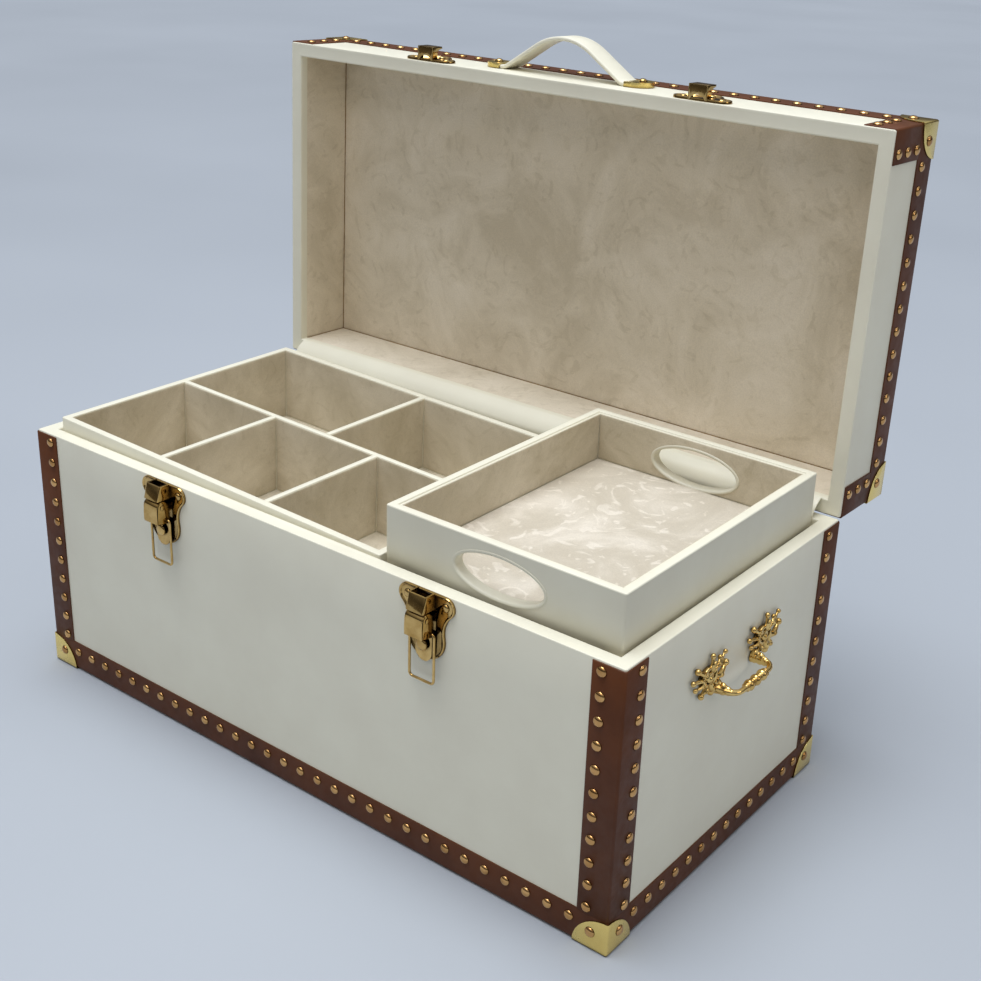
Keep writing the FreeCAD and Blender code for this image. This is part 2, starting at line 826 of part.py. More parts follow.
def insert_cells():
    """Corner places of the five open cells, inside their walls and before lining."""
    left = insert_left + insert_divider
    right = insert_right - insert_divider
    front = insert_front + insert_divider
    back = insert_back - insert_divider
    (long_front, long_back), = cell_walls(front, back, 2)
    cells = []
    for row_front, row_back, count in ((front, long_front, insert_front_cells),
                                       (long_back, back, insert_back_cells)):
        edges = [left] + [edge for wall in cell_walls(left, right, count) for edge in wall] + [right]
        for low, high in zip(edges[::2], edges[1::2]):
            cells.append((low, high, row_front, row_back))
    return cells


def make_insert():
    """Divided insert: box, dividers and one suede lining in each cell."""
    skin = insert_divider - insert_lining
    left = insert_left + skin
    right = insert_right - skin
    front = insert_front + skin
    back = insert_back - skin
    floor_top = insert_bottom + insert_floor_thickness
    box = [
        block(insert_left, insert_right, insert_front, front, insert_bottom, insert_top),
        block(insert_left, insert_right, back, insert_back, insert_bottom, insert_top),
        block(insert_left, left, front, back, insert_bottom, insert_top),
        block(right, insert_right, front, back, insert_bottom, insert_top),
        block(left, right, front, back, insert_bottom, floor_top),
    ]
    save("insert_box", tilted(fused(box)))
    inner_front = insert_front + insert_divider
    inner_back = insert_back - insert_divider
    (long_front, long_back), = cell_walls(inner_front, inner_back, 2)
    long_low = long_front + insert_lining
    long_high = long_back - insert_lining
    save("insert_long_divider", tilted(block(left, right, long_low, long_high, floor_top, insert_top)))
    rows = (("front", front, long_low, insert_front_cells), ("back", long_high, back, insert_back_cells))
    for place, row_front, row_back, count in rows:
        walls = cell_walls(insert_left + insert_divider, insert_right - insert_divider, count)
        save("insert_" + place + "_dividers",
             [tilted(block(low + insert_lining, high - insert_lining, row_front, row_back, floor_top, insert_top))
              for low, high in walls])
    linings = []
    for low, high, row_front, row_back in insert_cells():
        outside = block(low - insert_lining, high + insert_lining, row_front - insert_lining,
                        row_back + insert_lining, floor_top, insert_top - insert_lining)
        inside = block(low, high, row_front, row_back, floor_top + insert_lining, insert_top)
        linings.append(tilted(outside.cut(inside)))
    save("insert_cell_linings", linings)


# Latches
def waisted_plate(half_spread, lobe_height, lobe, foot_height, foot, waist, straight_height):
    """Pear shaped outline in the XZ plane: two lobes beside a straight edge, a waist and a round foot."""
    lobe_centre = V(half_spread, 0, lobe_height)
    foot_centre = V(0, 0, foot_height)
    gap = lobe_centre - foot_centre
    span = gap.Length
    near = foot + waist
    far = lobe + waist
    along = (near ** 2 - far ** 2 + span ** 2) / (2 * span)
    aside = math.sqrt(near ** 2 - along ** 2)
    way = V(gap).normalize()
    across = V(abs(way.z), 0, -way.x * math.copysign(1, way.z))
    waist_centre = foot_centre + way * along + across * aside
    lobe_point = lobe_centre + (waist_centre - lobe_centre).normalize() * lobe
    foot_point = foot_centre + (waist_centre - foot_centre).normalize() * foot
    toward = (lobe_point + foot_point) * 0.5 - waist_centre
    waist_point = waist_centre + toward.normalize() * waist
    top_point = V(half_spread, 0, straight_height)
    lobe_middle = lobe_centre + V(1, 0, 0) * lobe
    foot_end = foot_centre - V(0, 0, math.copysign(1, way.z)) * foot
    right = [arc(top_point, lobe_middle, lobe_point), arc(lobe_point, waist_point, foot_point)]
    left = [mirrored(edge, V(1, 0, 0)) for edge in right]
    bottom = arc(foot_point, foot_end, V(-foot_point.x, 0, foot_point.z))
    top = line(V(-half_spread, 0, straight_height), top_point)
    return Part.Wire(Part.__sortEdges__(chorded([top, bottom] + right + left)))


def rimmed_plate(outline, rim_width_here):
    """Thin plate with a raised rolled rim, standing on the XZ plane and reaching towards -Y."""
    slab = Part.Face(outline).extrude(V(0, -plate_rim_height, 0))
    pocket = Part.Face(outline.makeOffset2D(-rim_width_here)).extrude(V(0, -plate_rim_height, 0))
    return slab.cut(moved(pocket, V(0, -plate_thickness, 0)))


def side_cheek(edges_outline, x_low, x_high):
    """Flat cheek from an outline in the YZ plane, between two places along X."""
    return moved(extruded(chorded(edges_outline), V(x_high - x_low, 0, 0)), V(x_low, 0, 0))


def latch_plate():
    """Backplate with its fixed housing and the two ears that hold the lever pin. Front face is at Y 0."""
    lobe_height = latch_top - lobe_radius
    foot_height = latch_top - plate_length + plate_foot_radius
    outline = waisted_plate(lobe_spread / 2, lobe_height, lobe_radius, foot_height, plate_foot_radius,
                            plate_waist_radius, latch_top)
    plate = rimmed_plate(outline, plate_rim_width)
    half = lever_width / 2
    low = base_height - housing_length
    corners = [V(0, -plate_thickness, low), V(0, -housing_foot_depth, low),
               V(0, -housing_top_depth, base_height), V(0, -plate_thickness, base_height)]
    profile = [line(a, b) for a, b in zip(corners, corners[1:] + corners[:1])]
    housing = side_cheek(profile, -half, half)
    hollow_corners = [V(0, -plate_thickness, low), V(0, -housing_foot_depth + catch_wall, low),
                      V(0, -housing_top_depth + catch_wall, base_height), V(0, -plate_thickness, base_height)]
    hollow = side_cheek([line(a, b) for a, b in zip(hollow_corners, hollow_corners[1:] + hollow_corners[:1])],
                        -half + lever_wall, half - lever_wall)
    housing = housing.cut(hollow)
    return fused([plate, housing] + lever_ears())


def lever_ears():
    """Two lugs that stand on the backplate inside the lever's cheeks, bored for the pin."""
    pin = V(0, -lever_pin_depth, lever_pin_height)
    outer = lever_width / 2 - lever_wall - ear_gap
    top = pin + V(0, 0, ear_round)
    front = pin - V(0, ear_round, 0)
    bottom = pin - V(0, 0, ear_round)
    foot = V(0, -plate_thickness / 2, lever_pin_height - ear_round)
    head = V(0, -plate_thickness / 2, lever_pin_height + ear_round)
    edges = [arc(bottom, front, top), line(top, head), line(head, foot), line(foot, bottom)]
    bore = disc(pin - V(lever_width, 0, 0), V(1, 0, 0), lever_pin_radius + running_clearance, 2 * lever_width)
    right = side_cheek(edges, outer - ear_wall, outer).cut(bore)
    return [right, mirrored(right, V(1, 0, 0))]


def latch_lever():
    """Folded lever: channel front, two cheeks, a tongue with a round end and a knob."""
    pin = V(0, -lever_pin_depth, lever_pin_height)
    half = lever_width / 2
    front_low = base_height - housing_length - lever_front_length
    cheek_low = base_height - housing_length - lever_cheek_length
    top = pin + V(0, 0, 1) * lever_round
    fore = pin + V(0, -1, 0) * lever_round
    rear = pin + V(0, 1, 0) * lever_round
    corner_fore = V(0, -lever_front_depth, lever_pin_height - lever_round)
    corner_low = V(0, -lever_front_depth, front_low)
    heel = V(0, -lever_back_depth - tongue_thickness, cheek_low)
    heel_back = V(0, -lever_back_depth, cheek_low)
    shoulder = V(0, -lever_back_depth, lever_pin_height - lever_round)
    outline = [arc(rear, top, fore), line(fore, corner_fore), line(corner_fore, corner_low), line(corner_low, heel),
               line(heel, heel_back), line(heel_back, shoulder), line(shoulder, rear)]
    solid = side_cheek(outline, -half, half)
    room = half - lever_wall
    mouth = block(-room, room, -lever_front_depth + lever_wall, 0, cheek_low - overrun, base_height)
    solid = solid.cut(mouth)
    tongue_low = base_height - housing_length - tongue_length
    end_centre = tongue_low + tongue_half_width
    strip = block(-tongue_half_width, tongue_half_width, -lever_back_depth - tongue_thickness, -lever_back_depth,
                  end_centre, bail_pin_height - bail_wire_radius)
    tie = block(-half, half, -lever_back_depth - tongue_thickness, -lever_back_depth, cheek_low,
                bail_pin_height - 2 * bail_wire_radius)
    round_end = faceted(V(0, -lever_back_depth, end_centre), V(0, -1, 0),
                        [(tongue_half_width, 0), (tongue_half_width, tongue_thickness)], tongue_end_sides)
    knob_height = lever_pin_height - knob_drop
    knob = round_head(V(0, -lever_back_depth - tongue_thickness, knob_height), V(0, -1, 0), knob_radius, knob_rise)
    lever = fused([solid, tie, strip, round_end, knob])
    pin_bore = disc(pin - V(lever_width, 0, 0), V(1, 0, 0), lever_pin_radius + running_clearance, 2 * lever_width)
    bail_pin = V(-lever_width, -bail_pin_depth, bail_pin_height)
    bail_bore = disc(bail_pin, V(1, 0, 0), bail_wire_radius + running_clearance, 2 * lever_width)
    return lever.cut([pin_bore, bail_bore])


def lever_pin():
    """Headed pin through the ears and the lever's cheeks."""
    half = lever_width / 2 + ear_gap
    centre = V(-half, -lever_pin_depth, lever_pin_height)
    shaft = disc(centre, V(1, 0, 0), lever_pin_radius, 2 * half)
    tiers = [(lever_pin_head_radius, 0), (lever_pin_head_radius, lever_pin_head)]
    head = faceted(centre, V(-1, 0, 0), tiers, round_head_sides)
    return fused([shaft, head, mirrored(head, V(1, 0, 0))])


def corner_points(corner, before, after):
    """Three points that round a corner: before it, across it and after it. Offsets are taken from the corner."""
    shrink = 1 - math.sqrt(0.5)
    across = [(before[i] + after[i]) * shrink for i in (0, 1)]
    return [(corner[0] + step[0], corner[1] + step[1]) for step in (before, across, after)]


def latch_bail():
    """Rectangular wire loop, hooked into the lever's cheeks and hanging down."""
    y = -bail_pin_depth
    top = bail_pin_height
    low = bail_pin_height - bail_length
    reach = bail_half_width
    bend = bail_bend_radius
    turn = bail_corner_radius
    tip = lever_width / 2 - lever_wall - bail_hook_reach
    half = [(tip, top)]
    half += corner_points((reach, top), (-bend, 0), (0, -bend))
    half += corner_points((reach, low), (0, turn), (-turn, 0))
    path = [V(-x, y, z) for x, z in half] + [V(x, y, z) for x, z in reversed(half)]
    return wire_bar(path, bail_wire_radius)


def latch_rivets():
    """Two domed rivets in the lobes of one backplate."""
    height = latch_top - lobe_radius
    return [round_head(V(side * lobe_spread / 2, -plate_thickness, height), V(0, -1, 0), rivet_radius, rivet_rise)
            for side in (-1, 1)]


def catch():
    """Catch for one bail: plate and folded box hook, with its back at Y 0 and the lid shut."""
    low = lid_rim + catch_plate_gap
    top_height = low + catch_plate_length - catch_top_radius
    outline = waisted_plate(lobe_spread / 2, low + lobe_radius, lobe_radius, top_height, catch_top_radius,
                            catch_waist_radius, low)
    plate = rimmed_plate(outline, plate_rim_width)
    half = catch_hook_width / 2
    foot = lid_rim + catch_hook_gap
    shelf = foot + catch_shelf_length
    tip = foot + catch_lip_length
    root = -plate_thickness / 2
    corners = [V(0, root, foot), V(0, -catch_hook_depth, foot), V(0, -catch_hook_depth, tip),
               V(0, -catch_hook_depth + catch_lip_tip, tip), V(0, -catch_hook_depth + catch_lip_root, shelf),
               V(0, root, shelf)]
    hook = side_cheek([line(a, b) for a, b in zip(corners, corners[1:] + corners[:1])], -half, half)
    hollow = block(-half + catch_wall, half - catch_wall, -catch_hook_depth + catch_wall, -plate_thickness,
                   foot + catch_wall, tip + overrun)
    return fused([plate, hook.cut(hollow)])


def catch_rivets():
    """Rivets of one catch plate: one in each lobe and one at the top."""
    low = lid_rim + catch_plate_gap
    places = [(-lobe_spread / 2, low + lobe_radius), (lobe_spread / 2, low + lobe_radius),
              (0, low + catch_plate_length - catch_top_radius / 2 - plate_rim_width)]
    return [round_head(V(x, -plate_thickness, z), V(0, -1, 0), rivet_radius, rivet_rise) for x, z in places]


def make_latches():
    """Both draw latches on the base and both catches on the lid."""
    latch_shift = [V(side * latch_spread / 2, -half_depth, 0) for side in (-1, 1)]
    for name, shift in zip(("left", "right"), latch_shift):
        save("latch_plate_" + name, moved(latch_plate(), shift))
        save("latch_lever_" + name, moved(latch_lever(), shift))
        save("latch_bail_" + name, moved(latch_bail(), shift))
        save_lid("catch_" + name, moved(catch(), shift))
    save("latch_pins", [moved(lever_pin(), shift) for shift in latch_shift])
    save("latch_rivets", [moved(rivet, shift) for shift in latch_shift for rivet in latch_rivets()])
    save_lid("catch_rivets", [moved(rivet, shift) for shift in latch_shift for rivet in catch_rivets()])


# Strap handle
def strap():
    """Arched strap: flat ends, two hollow bends, straight flanks and a round crown, drawn as one band."""
    angle = math.radians(strap_flank_angle)
    mid = strap_thickness / 2
    bends = strap_crown_radius + strap_foot_radius
    flank = (strap_rise - bends * (1 - math.cos(angle))) / math.sin(angle)
    half_span = bends * math.sin(angle) + flank * math.cos(angle)
    crown_centre = mid + strap_rise - strap_crown_radius
    foot_centre = mid + strap_foot_radius

    def spot(x, height):
        return V(x, -height, 0)

    def band_edges(offset):
        crown = strap_crown_radius + offset
        foot = strap_foot_radius - offset
        crown_top = spot(0, crown_centre + crown)
        crown_mid = spot(crown * math.sin(angle / 2), crown_centre + crown * math.cos(angle / 2))
        join = spot(crown * math.sin(angle), crown_centre + crown * math.cos(angle))
        foot_top = spot(half_span - foot * math.sin(angle), foot_centre - foot * math.cos(angle))
        foot_mid = spot(half_span - foot * math.sin(angle / 2), foot_centre - foot * math.cos(angle / 2))
        flat = spot(half_span, mid + offset)
        end = spot(strap_half_length, mid + offset)
        return [arc(crown_top, crown_mid, join), line(join, foot_top), arc(foot_top, foot_mid, flat),
                line(flat, end)]

    right = band_edges(mid) + band_edges(-mid)
    left = [mirrored(edge, V(1, 0, 0)) for edge in right]
    ends = [line(spot(side * strap_half_length, 0), spot(side * strap_half_length, strap_thickness))
            for side in (-1, 1)]
    return moved(extruded(right + left + ends, V(0, 0, strap_width)), V(0, 0, -strap_width / 2))


def strap_plate(side):
    """Brass box plate over one strap end, open towards the middle, with a half-round outer end."""
    half = strap_plate_width / 2
    turn = strap_mouth + strap_plate_length - half
    corners = [V(turn, 0, -half), V(strap_mouth, 0, -half), V(strap_mouth, 0, half), V(turn, 0, half)]
    edges = [line(a, b) for a, b in zip(corners, corners[1:])]
    edges.append(arc(corners[3], V(turn + half, 0, 0), corners[0]))
    shell = extruded(edges, V(0, -strap_plate_height, 0))
    slot = block(strap_mouth - overrun, strap_half_length, -strap_thickness, overrun,
                 -strap_width / 2, strap_width / 2)
    plate = shell.cut(slot)
    return plate if side > 0 else mirrored(plate, V(1, 0, 0))


def make_strap_handle():
    """Strap handle, its two end plates and their studs, on the lid's front."""
    shift = V(strap_centre_shift, -half_depth, strap_centre)
    stud_x = strap_mouth + strap_plate_length - stud_inset
    save_lid("strap_handle", moved(strap(), shift))
    save_lid("strap_end_plates", [moved(strap_plate(side), shift) for side in (-1, 1)])
    studs = [round_head(V(side * stud_x, -strap_plate_height, 0), V(0, -1, 0), stud_radius, stud_rise)
             for side in (-1, 1)]
    save_lid("strap_studs", [moved(stud, shift) for stud in studs])


# Side handles
def leaf_reach(angle):
    """Distance from the middle of a rosette to its lobed edge, in one direction."""
    reach = rosette_height * leaf_core_share
    for y_share, z_share, radius_share in rosette_lobe_shares:
        centre = V(0, y_share * rosette_length, z_share * rosette_height)
        radius = radius_share * rosette_length
        turn = angle - math.atan2(centre.z, centre.y)
        aside = centre.Length * math.sin(turn)
        if abs(aside) < radius and math.cos(turn) > 0:
            reach = max(reach, centre.Length * math.cos(turn) + math.sqrt(radius ** 2 - aside ** 2))
    return reach


def leaf_ring(depth, inset):
    """Lobed outline of a rosette in the YZ plane at a depth, drawn in by an inset."""
    ring = []
    for step in range(leaf_points_count):
        angle = 2 * math.pi * step / leaf_points_count
        reach = leaf_reach(angle) - inset
        ring.append(V(depth, reach * math.cos(angle), reach * math.sin(angle)))
    return ring


def rosette():
    """Leafy end plate of a cast handle. It lies on the YZ plane and its head points along +X."""
    leaf = stacked([leaf_ring(0, 0), leaf_ring(rosette_thickness, 0), leaf_ring(rosette_rise, lobe_bevel)])
    tiers = [(boss_radius * radius_share, boss_rise * rise_share) for radius_share, rise_share in boss_tiers]
    return leaf.fuse(faceted(V(0, 0, 0), V(1, 0, 0), tiers, boss_sides))


def bow():
    """Grip of a cast handle: two arms, a cross bar with three beads, and flared roots in the rosettes."""
    droop = math.radians(bow_droop_angle)
    out = V(math.cos(droop), 0, -math.sin(droop))
    half = bow_spacing / 2
    bend = bow_bend_radius

    def at(y, reach):
        return V(0, y, -bow_drop) + out * reach

    path = [(half, 0)] + corner_points((half, bow_reach), (0, -bend), (-bend, 0))
    points = [at(-y, reach) for y, reach in path] + [at(y, reach) for y, reach in reversed(path)]
    pieces = [wire_bar(points, bow_radius)]
    for place in (-1, 0, 1):
        start = at(place * bead_spacing - bead_length / 2, bow_reach)
        tiers = [(bow_radius, 0), (bead_radius, bead_length / 2), (bow_radius, bead_length)]
        pieces.append(faceted(start, V(0, 1, 0), tiers, wire_sides))
    for side in (-1, 1):
        pieces.append(faceted(at(side * half, 0), out, [(root_radius, 0), (bow_radius, root_length)], wire_sides))
    room = bow_spacing + bow_reach
    return fused(pieces).common(block(0, room, -room, room, -room, room))


def side_handle():
    """One-piece cast handle for the right end wall, with its back on the plane X 0."""
    one = moved(rosette(), V(0, rosette_spacing / 2, 0))
    return fused([one, mirrored(one, V(0, 1, 0)), bow()])


def make_side_handles():
    """Both cast handles, each with two square posts through its end wall."""
    handle = moved(side_handle(), V(half_width, handle_centre_shift, handle_centre_height))
    left_posts = handle_posts(0, 0)[:2]
    right_posts = handle_posts(0, 0)[2:]
    save("side_handle_right", fused([handle] + right_posts))
    save("side_handle_left", fused([mirrored(handle, V(1, 0, 0))] + left_posts))


def main():
    """Build every node."""
    os.makedirs("parts", exist_ok=True)
    make_carcasses()
    make_trims()
    make_caps()
    make_nails()
    make_hinges()
    save("hinge_gusset", gusset())
    make_wells()
    make_tray()
    make_insert()
    make_latches()
    make_strap_handle()
    make_side_handles()


main()
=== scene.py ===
"""Leather covered trunk, open on a pale floor.

The solids come in packed as the frame. Each visible piece is made here in millimetres, in the pose that its
maker would draw it in (the lid shut, the insert level), and is then put where the solids have it, in metres.
"""
from math import asin, atan2, cos, degrees, pi, radians, sin, sqrt, tan

import bmesh
import bpy
from mathutils import Matrix, Vector, noise


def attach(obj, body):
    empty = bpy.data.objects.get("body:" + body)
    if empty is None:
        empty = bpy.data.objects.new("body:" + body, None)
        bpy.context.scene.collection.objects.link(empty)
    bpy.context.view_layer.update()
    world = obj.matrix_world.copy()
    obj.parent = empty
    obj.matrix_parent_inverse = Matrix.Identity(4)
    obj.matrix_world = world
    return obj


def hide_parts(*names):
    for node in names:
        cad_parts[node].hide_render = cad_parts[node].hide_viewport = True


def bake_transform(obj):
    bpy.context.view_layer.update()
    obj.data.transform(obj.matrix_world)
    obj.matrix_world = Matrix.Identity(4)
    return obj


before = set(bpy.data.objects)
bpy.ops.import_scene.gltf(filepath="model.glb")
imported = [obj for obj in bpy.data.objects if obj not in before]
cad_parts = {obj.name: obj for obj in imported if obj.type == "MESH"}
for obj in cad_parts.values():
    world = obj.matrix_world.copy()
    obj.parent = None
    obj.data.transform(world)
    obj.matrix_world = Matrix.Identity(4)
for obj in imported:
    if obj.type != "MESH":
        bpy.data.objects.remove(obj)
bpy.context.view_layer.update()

# Sizes in millimetres, the same as the solids have
BODY_X, BODY_Y = 299.0, 148.0
BASE_FOOT, BASE_RIM = 2.0, 223.0
LID_RIM, LID_TOP = 224.0, 295.3
RIM_WIDTH, LINING_TOP_DROP, LID_CEILING, WELL_FLOOR = 12.0, 8.0, 283.8, 12.3
TRIM_X, TRIM_Y, TRIM_WIDE, TRIM_THICK, TRIM_HIGH = 300.0, 149.0, 26.0, 1.0, 26.5
CAP_X, CAP_Y, CAP_LONG, CAP_HIGH, CAP_CUT = 301.0, 150.0, 29.0, 27.0, 18.3
NAIL_RADIUS, NAIL_RISE, NAIL_INSET, CAP_NAIL_INSET = 4.0, 2.2, 18.5, 14.5
LONG_ROW, SHORT_ROW = (-268, 268, 30), (-117, 117, 14)
HINGE_LINE = Vector((0, 148.4, 223.5))
LID_OPEN = 91.6
TRAY_LEFT, TRAY_RIGHT, TRAY_FRONT, TRAY_BACK = 83.5, 285.5, -132.2, 127.8
TRAY_FOOT, TRAY_TOP, TRAY_FACE = 216.0, 265.0, 9.0
HAND_HOLE = (39.0, 16.0, 240.8)
INSERT_LEFT, INSERT_RIGHT, INSERT_FRONT, INSERT_BACK = -285.8, 77.7, -134.5, 125.5
INSERT_FOOT, INSERT_TOP, DIVIDER = 150.5, 224.5, 7.0
INSERT_TILT = asin(9.5 / (INSERT_RIGHT - INSERT_LEFT))
LATCH_X, LATCH_HALF, LATCH_SHEET, PLATE_THICK, HOUSING_LONG = 136.7, 8.0, 1.0, 1.2, 12.2
PIN_DEPTH, PIN_Z = 9.9, BASE_RIM - 18.0
RIVET_SPREAD, RIVET_DROP, RIVET_RADIUS, RIVET_RISE = 17.0, 8.0, 3.2, 1.8
CATCH_LOW, CATCH_LONG = LID_RIM + 0.8, 30.0
STRAP_X, STRAP_Z = -6.5, LID_RIM + 32.2
PULL_Y, PULL_Z = -5.0, 172.0
SIDES = (-1, 1)
CORNERS = [(side_x, side_y) for side_x in SIDES for side_y in SIDES]

# Where a piece drawn shut or level goes: the solids' own swing and slope
insert_corner = Vector((INSERT_RIGHT, 0, INSERT_FOOT))
PLACED = {
    "lid": Matrix.Translation(HINGE_LINE) @ Matrix.Rotation(radians(-LID_OPEN), 4, "X")
    @ Matrix.Translation(-HINGE_LINE),
    "insert": Matrix.Translation(insert_corner) @ Matrix.Rotation(INSERT_TILT, 4, "Y")
    @ Matrix.Translation(-insert_corner),
}
TO_METRES = Matrix.Scale(0.001, 4)


# Finishes
def colour(code):
    """sRGB hex to the linear colour that a shader takes."""
    shares = [int(code[start:start + 2], 16) / 255 for start in (1, 3, 5)]
    return tuple(s / 12.92 if s <= 0.04045 else ((s + 0.055) / 1.055) ** 2.4 for s in shares) + (1.0,)


def per(millimetres):
    """Texture scale that repeats once in this many millimetres."""
    return 1000.0 / millimetres


def add(tree, kind, values=(), links=(), stops=(), output=0, into=None, **settings):
    """Adds one node with its settings, its socket values, the sockets that feed it and a ramp's stops, and
    gives the socket that comes out of it. Into is a socket that it feeds at once."""
    node = tree.nodes.new(kind)
    for name, value in settings.items():
        setattr(node, name, value)
    for socket, value in dict(values).items():
        node.inputs[socket].default_value = value
    for socket, source in dict(links).items():
        tree.links.new(source, node.inputs[socket])
    for index, (place, code) in enumerate(stops):
        stop = node.color_ramp.elements[index] if index < 2 else node.color_ramp.elements.new(place)
        stop.position = place
        stop.color = colour(code)
    if into:
        tree.links.new(node.outputs[output], into)
    return node.outputs[output]


def start_finish(name, **values):
    """A new material: its nodes, its surface's sockets, and the place on a piece that patterns start from."""
    material = bpy.data.materials.new(name)
    material.use_nodes = True
    tree = material.node_tree
    surface = tree.nodes["Principled BSDF"].inputs
    for socket, value in values.items():
        surface[socket.replace("_", " ")].default_value = value
    return material, tree, surface, add(tree, "ShaderNodeTexCoord", output="Object")


def grained_leather(name, light, dark, roughness, grain_mm, depth_mm, coat, refraction=1.5):
    """Finished cowhide: a thin pigment coat over a fine pebbled grain, so it gives a broken soft shine.
    The grain is drawn a little coarser than life, so that it still shows in the picture."""
    material, tree, surface, place = start_finish(name, Roughness=roughness, Coat_Weight=coat,
                                                  Coat_Roughness=0.35, IOR=refraction)
    cloud = add(tree, "ShaderNodeTexNoise", {"Scale": per(70), "Detail": 4.0, "Roughness": 0.55},
                {"Vector": place})
    add(tree, "ShaderNodeValToRGB", links={0: cloud}, stops=((0.32, dark), (0.68, light)),
        into=surface["Base Color"])
    pebbles = add(tree, "ShaderNodeTexVoronoi", {"Scale": per(grain_mm), "Randomness": 1.0},
                  {"Vector": place}, feature="SMOOTH_F1")
    creases = add(tree, "ShaderNodeTexNoise", {"Scale": per(grain_mm * 6), "Detail": 6.0}, {"Vector": place})
    height = add(tree, "ShaderNodeMath", {1: 0.5}, {0: pebbles, 2: creases}, operation="MULTIPLY_ADD")
    add(tree, "ShaderNodeBump", {"Strength": 0.6, "Distance": depth_mm / 1000}, {"Height": height},
        into=surface["Normal"])
    add(tree, "ShaderNodeMapRange", {"From Min": 0.3, "From Max": 0.7, "To Min": roughness - 0.07,
                                     "To Max": roughness + 0.09}, {"Value": creases},
        into=surface["Roughness"])
    return material


def brushed_suede(name, pale, middle, deep, contrast, flick):
    """Suede: a short nap that lies in different directions where a hand or brush has passed, which gives wide
    soft clouds, small paler or deeper flicks and no shine. The nap itself is drawn about 1 mm long, coarser
    than life."""
    material, tree, surface, place = start_finish(name, Roughness=0.95, Sheen_Weight=0.3, Sheen_Roughness=0.5,
                                                  Specular_IOR_Level=0.2)
    clouds = add(tree, "ShaderNodeTexNoise", {"Scale": per(80), "Detail": 6.0, "Roughness": 0.66,
                                              "Distortion": 0.7}, {"Vector": place})
    flicks = add(tree, "ShaderNodeTexNoise", {"Scale": per(26), "Detail": 2.0, "Roughness": 0.45,
                                              "Distortion": 3.2}, {"Vector": place})
    turned_nap = add(tree, "ShaderNodeMapRange", {"From Min": 0.58, "From Max": 0.67, "To Max": flick},
                     {"Value": flicks})
    mixed = add(tree, "ShaderNodeMath", links={0: clouds, 1: turned_nap}, operation="ADD")
    spread = 0.2 / contrast
    tone = add(tree, "ShaderNodeValToRGB", links={0: mixed},
               stops=((0.5 - spread, deep), (0.5 + spread, pale), (0.5, middle)))
    nap = add(tree, "ShaderNodeTexNoise", {"Scale": per(1.1), "Detail": 3.0}, {"Vector": place})
    flecks = add(tree, "ShaderNodeMapRange", {"From Min": 0.3, "From Max": 0.7, "To Min": 0.94,
                                              "To Max": 1.05}, {"Value": nap})
    add(tree, "ShaderNodeVectorMath", links={0: tone, 1: flecks}, operation="MULTIPLY",
        into=surface["Base Color"])
    add(tree, "ShaderNodeBump", {"Strength": 0.35, "Distance": 0.0003}, {"Height": nap},
        into=surface["Normal"])
    return material


def polished_metal(name, light, dark, roughness, wear_mm, gap_mm):
    """Metal pressed, cast or drawn, then polished on a wheel: a mirror with faint cloudy tarnish and fine
    buffing marks, and its folds and gaps darkened to a deep brown, which is painted shade with a little
    tarnish in it."""
    material, tree, surface, place = start_finish(name, Metallic=1.0, Roughness=roughness)
    cloud = add(tree, "ShaderNodeTexNoise", {"Scale": per(wear_mm), "Detail": 5.0, "Roughness": 0.6},
                {"Vector": place})
    tone = add(tree, "ShaderNodeValToRGB", links={0: cloud}, stops=((0.35, dark), (0.6, light)))
    # Painted shade: where other surfaces lie close, as in folds and gaps, the colour falls to a deep brown
    reach = add(tree, "ShaderNodeAmbientOcclusion", {"Distance": gap_mm / 1000}, output="AO", samples=8)
    painted_gap_shade = add(tree, "ShaderNodeValToRGB", links={0: reach}, stops=((0.42, "#2c2018"), (0.86, "#ffffff")))
    add(tree, "ShaderNodeVectorMath", links={0: tone, 1: painted_gap_shade}, operation="MULTIPLY",
        into=surface["Base Color"])
    add(tree, "ShaderNodeMapRange", {"From Min": 0.35, "From Max": 0.7, "To Min": roughness * 0.8,
                                     "To Max": roughness * 1.5}, {"Value": cloud}, into=surface["Roughness"])
    marks = add(tree, "ShaderNodeTexNoise", {"Scale": per(1.2), "Detail": 2.0}, {"Vector": place})
    add(tree, "ShaderNodeBump", {"Strength": 0.08, "Distance": 0.0001}, {"Height": marks},
        into=surface["Normal"])
    return material


def sawn_plywood():
    """Birch plywood, sawn: pale brown with long grain lines. It shows only where the leather leaves it."""
    material, tree, surface, place = start_finish("plywood_sawn", Roughness=0.75)
    stretched = add(tree, "ShaderNodeMapping", {"Scale": (per(90), per(6), per(6))}, {"Vector": place})
    grain = add(tree, "ShaderNodeTexNoise", {"Scale": 1.0, "Detail": 6.0, "Distortion": 0.6},
                {"Vector": stretched})
    add(tree, "ShaderNodeValToRGB", links={0: grain}, stops=((0.35, "#a98658"), (0.65, "#cfae7c")),
        into=surface["Base Color"])
    add(tree, "ShaderNodeBump", {"Strength": 0.4, "Distance": 0.0003}, {"Height": grain},
        into=surface["Normal"])
    return material


def pressed_felt():
    """Wool felt: matt, dark, with a tangle of short fibres."""
    material, tree, surface, place = start_finish("felt_pressed", Roughness=1.0, Sheen_Weight=0.4)
    fibres = add(tree, "ShaderNodeTexNoise", {"Scale": per(1.6), "Detail": 6.0, "Distortion": 1.5},
                 {"Vector": place})
    add(tree, "ShaderNodeValToRGB", links={0: fibres}, stops=((0.3, "#2a231f"), (0.7, "#4a403a")),
        into=surface["Base Color"])
    add(tree, "ShaderNodeBump", {"Strength": 0.7, "Distance": 0.0006}, {"Height": fibres},
        into=surface["Normal"])
    return material


